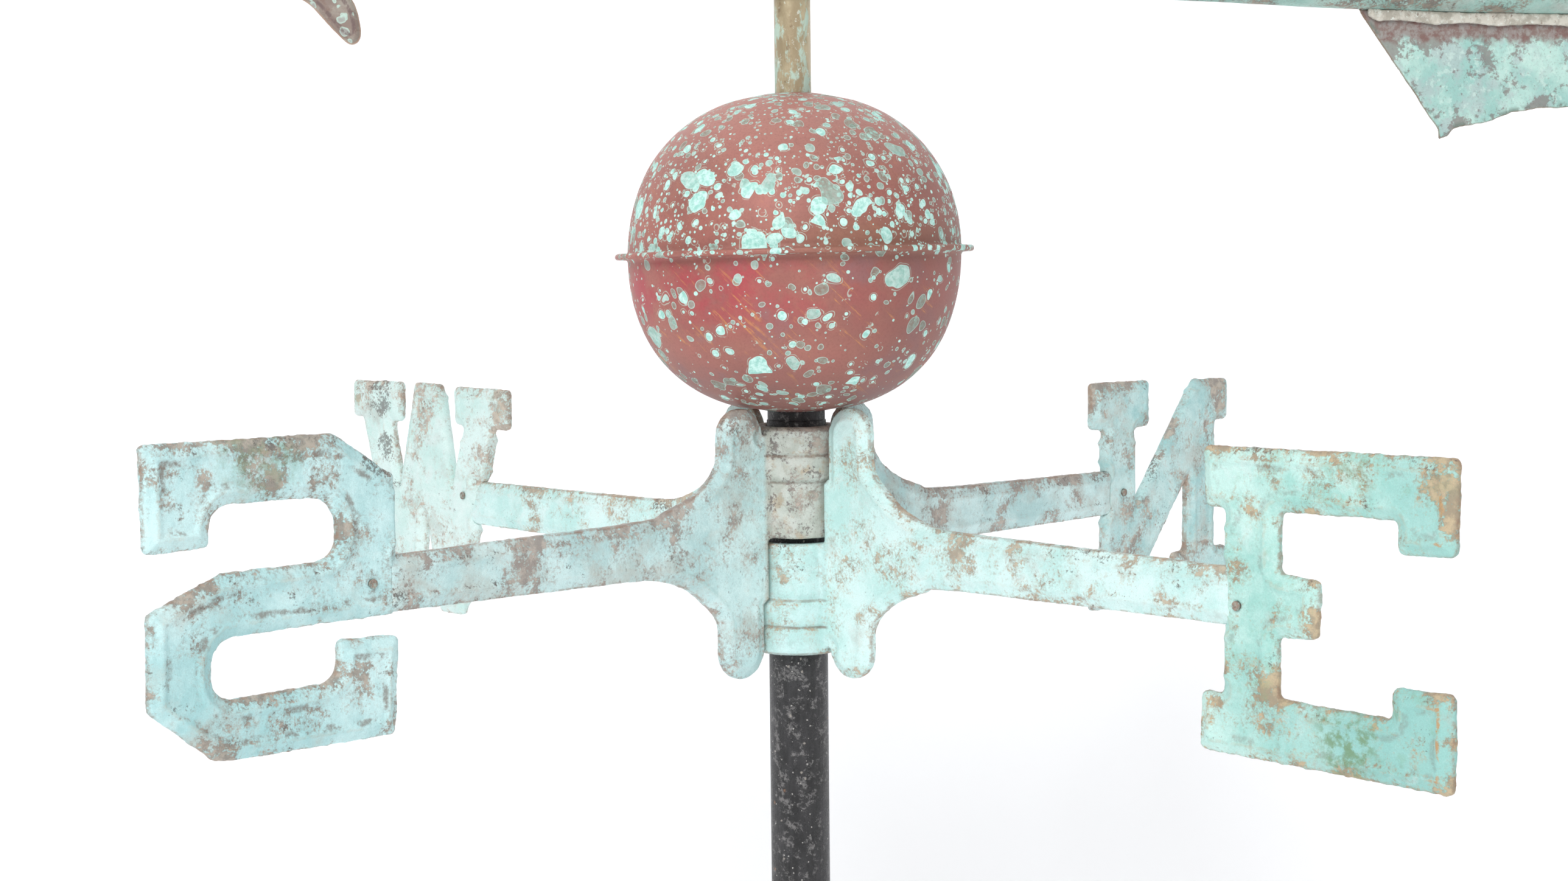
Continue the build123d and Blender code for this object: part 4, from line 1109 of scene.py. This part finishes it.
def sheet_feather_object(node, seed):
    """A thinned, gently waved feather, flattest beside the shaft."""
    ob = remeshed(node, "sheet_" + node, voxel=0.6, smooth=2)
    x, away, z = arrow_frame(get_co(ob.data))
    distance = arrow_edge_distance(node, x, z)
    flat = from_arrow(x, away * 0, z)
    free = ramp(np.abs(z), 20, 48)
    away = away * (0.62 + 0.2 * ramp(np.abs(z), 60, 20))
    away = away + free * (2.2 * fbm(flat, 60, seed) + 0.8 * fbm(flat, 20, seed + 1))
    z = z + ridge(distance, 0, 2.0) * free * 0.7 * fbm(flat, 7, seed + 2)
    set_co(ob.data, from_arrow(x, away, z))
    put_edge(ob.data, distance)
    crust(ob, fine=0.05, coarse=0.08, seed=seed, edge=0.12, distance=distance)
    dress(ob, FEATHER, VANE, node)


def solder_run(node, seed):
    ob = remeshed(node, "run_" + node, voxel=0.6)
    crust(ob, fine=0.35, coarse=0.45, seed=seed)
    dress(ob, SOLDER, VANE, node)


def formed_head(node, seed):
    ob = remeshed(node, "formed_" + node, voxel=0.6)
    x, _, z = arrow_frame(get_co(ob.data))
    distance = arrow_edge_distance(node, x, z)
    put_edge(ob.data, distance)
    crust(ob, fine=0.08, coarse=0.16, seed=seed, edge=0.15, distance=distance)
    dress(ob, HEAD_SKIN, VANE, node)


def formed_fitting(node, voxel, seed):
    ob = remeshed(node, "formed_" + node, voxel, smooth=2)
    put_edge(ob.data, np.full(len(ob.data.vertices), EDGE_FAR))
    crust(ob, fine=0.07, coarse=0.12, seed=seed)
    dress(ob, ARROW_SKIN, VANE, node)


def hermite(stations, x):
    """Smooth curve through rows of (place, value)."""
    xs, values = np.array(stations, float).T
    slopes = np.gradient(values, xs)
    k = np.clip(np.searchsorted(xs, x) - 1, 0, len(xs) - 2)
    h = xs[k + 1] - xs[k]
    s = (x - xs[k]) / h
    return (
        (2 * s**3 - 3 * s**2 + 1) * values[k]
        + (s**3 - 2 * s**2 + s) * h * slopes[k]
        + (-2 * s**3 + 3 * s**2) * values[k + 1]
        + (s**3 - s**2) * h * slopes[k + 1]
    )


def raised_shaft():
    """The hollow tapering body, with the soft hammering of hand-raised sheet."""
    tail, tip = SHAFT_STATIONS[0][0] + 0.1, SHAFT_STATIONS[-1][0] - 0.1
    along = np.linspace(tail, tip, SHAFT_STEPS)
    radius = hermite(SHAFT_STATIONS, along)
    x = np.tile(np.concatenate([along, along[::-1]]), SHAFT_SEGMENTS)
    radii = np.concatenate([radius, radius[::-1] - SHAFT_SHEET])
    away, z = spin(radii, SHAFT_SEGMENTS)
    co = from_arrow(x, away, z)
    hammering = 0.020 * fbm(co, 24, 51) + 0.008 * fbm(co, 8, 52)
    push = 1 + hammering * ramp(np.abs(x + 120), 300, 260)
    co = from_arrow(x, away * push, z * push)
    ob = turned_object("raised_arrow_shaft", co, SHAFT_SEGMENTS)
    put_edge(ob.data, np.full(len(co), EDGE_FAR))
    dress(ob, ARROW_SKIN, VANE, "arrow_shaft")


sheet_feather_object("feather_lower", seed=31)
sheet_feather_object("feather_upper", seed=32)
solder_run("solder_lower", seed=35)
solder_run("solder_upper", seed=36)
formed_head("arrowhead_near", seed=41)
formed_head("arrowhead_far", seed=42)
formed_fitting("shaft_saddle", voxel=0.6, seed=45)
formed_fitting("saddle_finial", voxel=0.5, seed=46)
formed_fitting("shaft_tail_cap", voxel=0.5, seed=47)
raised_shaft()

# ---------------------------------------------------------------- CAD nodes that stay
KEPT = {
    "mast_pipe": PAINT,
    "mast_plug": STEEL,
    "spindle_rod": STEEL,
    "spindle_pin": STEEL,
    "collar_set_screws": STEEL,
    "letter_rivets": RIVET,
    "globe_washer": PAINT,
    "vane_tube": BRASS,
    "lower_bush": BRASS,
    "upper_bush": BRASS,
    "pivot_ball": STEEL,
    "thrust_plug": STEEL,
    "head_tang": BRASS,
}
for node, material in KEPT.items():
    NODES[node].data.materials.clear()
    NODES[node].data.materials.append(material)

# ---------------------------------------------------------------- stage, in metres
AHEAD = Vector((-RIGHT_Y, RIGHT_X, 0))
RIGHT = Vector((RIGHT_X, RIGHT_Y, 0))
UP = Vector((0, 0, 1))
COVE_HALF_WIDTH = 9.0
COVE_START, COVE_R = 0.10, 0.4  # where the floor begins to curve up, and its radius
FLOOR_DROP = 0.0004
LIGHT_TARGET = Vector((0, 0, 0.56))


def white_surface():
    """Matt white, seen and lit from its front only, so it hides nothing from behind."""
    mat = bpy.data.materials.new("studio_white")
    mat.use_nodes = True
    nodes, link = mat.node_tree.nodes, mat.node_tree.links.new
    nodes.clear()
    diffuse = nodes.new("ShaderNodeBsdfDiffuse")
    diffuse.inputs["Color"].default_value = (0.86, 0.86, 0.87, 1)
    glow = nodes.new("ShaderNodeEmission")
    glow.inputs["Color"].default_value = (0.985, 0.99, 1.0, 1)
    glow.inputs["Strength"].default_value = 0.27
    both = nodes.new("ShaderNodeAddShader")
    link(diffuse.outputs[0], both.inputs[0])
    link(glow.outputs[0], both.inputs[1])
    clear = nodes.new("ShaderNodeBsdfTransparent")
    geometry = nodes.new("ShaderNodeNewGeometry")
    mix = nodes.new("ShaderNodeMixShader")
    link(geometry.outputs["Backfacing"], mix.inputs[0])
    link(both.outputs[0], mix.inputs[1])
    link(clear.outputs[0], mix.inputs[2])
    link(mix.outputs[0], nodes.new("ShaderNodeOutputMaterial").inputs[0])
    return mat


def cove():
    """Floor that curves up into a wall behind the vane; section is (ahead, height)."""
    section = [(-9.0, 0.0), (-2.0, 0.0), (COVE_START, 0.0)]
    for degrees in range(6, 91, 6):
        a = math.radians(degrees)
        section.append((COVE_START + COVE_R * math.sin(a), COVE_R - COVE_R * math.cos(a)))
    section += [(COVE_START + COVE_R, 1.5), (COVE_START + COVE_R, 6.0)]
    verts = [
        tuple(AHEAD * ahead + RIGHT * side + UP * (z - FLOOR_DROP))
        for side in (-COVE_HALF_WIDTH, COVE_HALF_WIDTH)
        for ahead, z in section
    ]
    n = len(section)
    faces = [(i, n + i, n + i + 1, i + 1) for i in range(n - 1)]
    me = bpy.data.meshes.new("studio_cove")
    me.from_pydata(verts, [], faces)
    smooth_all(me)
    me.materials.append(white_surface())
    add_object("studio_cove", me)


def disk_light(name, ahead, right, up, size, power):
    data = bpy.data.lights.new(name, "AREA")
    data.shape, data.size, data.energy = "DISK", size, power
    ob = bpy.data.objects.new(name, data)
    place = AHEAD * ahead + RIGHT * right + UP * up
    ob.location = place
    ob.rotation_mode = "QUATERNION"
    ob.rotation_quaternion = (LIGHT_TARGET - place).to_track_quat("-Z", "Y")
    bpy.context.scene.collection.objects.link(ob)


def studio_world():
    """A dim light on the vane, but near white where the camera sees it."""
    world = bpy.data.worlds.new("studio")
    world.use_nodes = True
    nodes, link = world.node_tree.nodes, world.node_tree.links.new
    dim = nodes["Background"]
    dim.inputs["Color"].default_value = (0.97, 0.975, 1.0, 1)
    dim.inputs["Strength"].default_value = 0.27
    seen = nodes.new("ShaderNodeBackground")
    seen.inputs["Color"].default_value = (0.96, 0.965, 0.97, 1)
    seen.inputs["Strength"].default_value = 1.0
    path = nodes.new("ShaderNodeLightPath")
    choose = nodes.new("ShaderNodeMixShader")
    link(path.outputs["Is Camera Ray"], choose.inputs[0])
    link(dim.outputs[0], choose.inputs[1])
    link(seen.outputs[0], choose.inputs[2])
    link(choose.outputs[0], nodes["World Output"].inputs[0])
    return world


cove()
disk_light("key", ahead=-1.9, right=-0.60, up=2.0, size=1.6, power=44)
disk_light("fill", ahead=-1.7, right=1.6, up=1.1, size=1.4, power=6)
scene = bpy.context.scene
scene.world = studio_world()
scene.view_settings.view_transform = "Standard"
scene.view_settings.look = "None"

# ---------------------------------------------------------------- camera
CAMERA_DISTANCE, CAMERA_RISE = 1.131117, 0.1420857  # from the mast, and above the hub
PITCH, YAW, ROLL = 0.086442, -0.0050, -0.0105  # radians; pitch is downwards
CAMERA_TURN = 0.8119449  # radians round the mast, from looking along +Y
LENS = 57.482322205  # mm, on a sensor 36 mm wide


def add_camera():
    forward = Vector(
        (math.sin(YAW) * math.cos(PITCH), math.cos(YAW) * math.cos(PITCH), -math.sin(PITCH))
    )
    level = Vector((math.cos(YAW), -math.sin(YAW), 0))
    upright = level.cross(forward)
    right = level * math.cos(ROLL) + upright * math.sin(ROLL)
    up = upright * math.cos(ROLL) - level * math.sin(ROLL)
    turn = Matrix.Rotation(CAMERA_TURN, 4, "Z")
    place = turn @ Vector((0, -CAMERA_DISTANCE, CAMERA_RISE))
    place.z += HUB / 1000.0
    right, up, forward = turn @ right, turn @ up, turn @ forward
    data = bpy.data.cameras.new("camera")
    data.sensor_fit = "HORIZONTAL"
    data.sensor_width = 36.0
    data.lens = LENS
    data.clip_start, data.clip_end = 0.05, 60.0
    camera = bpy.data.objects.new("camera", data)
    scene.collection.objects.link(camera)
    rows = [(right[i], up[i], -forward[i], place[i]) for i in range(3)]
    camera.matrix_world = Matrix((*rows, (0, 0, 0, 1)))
    scene.camera = camera


add_camera()
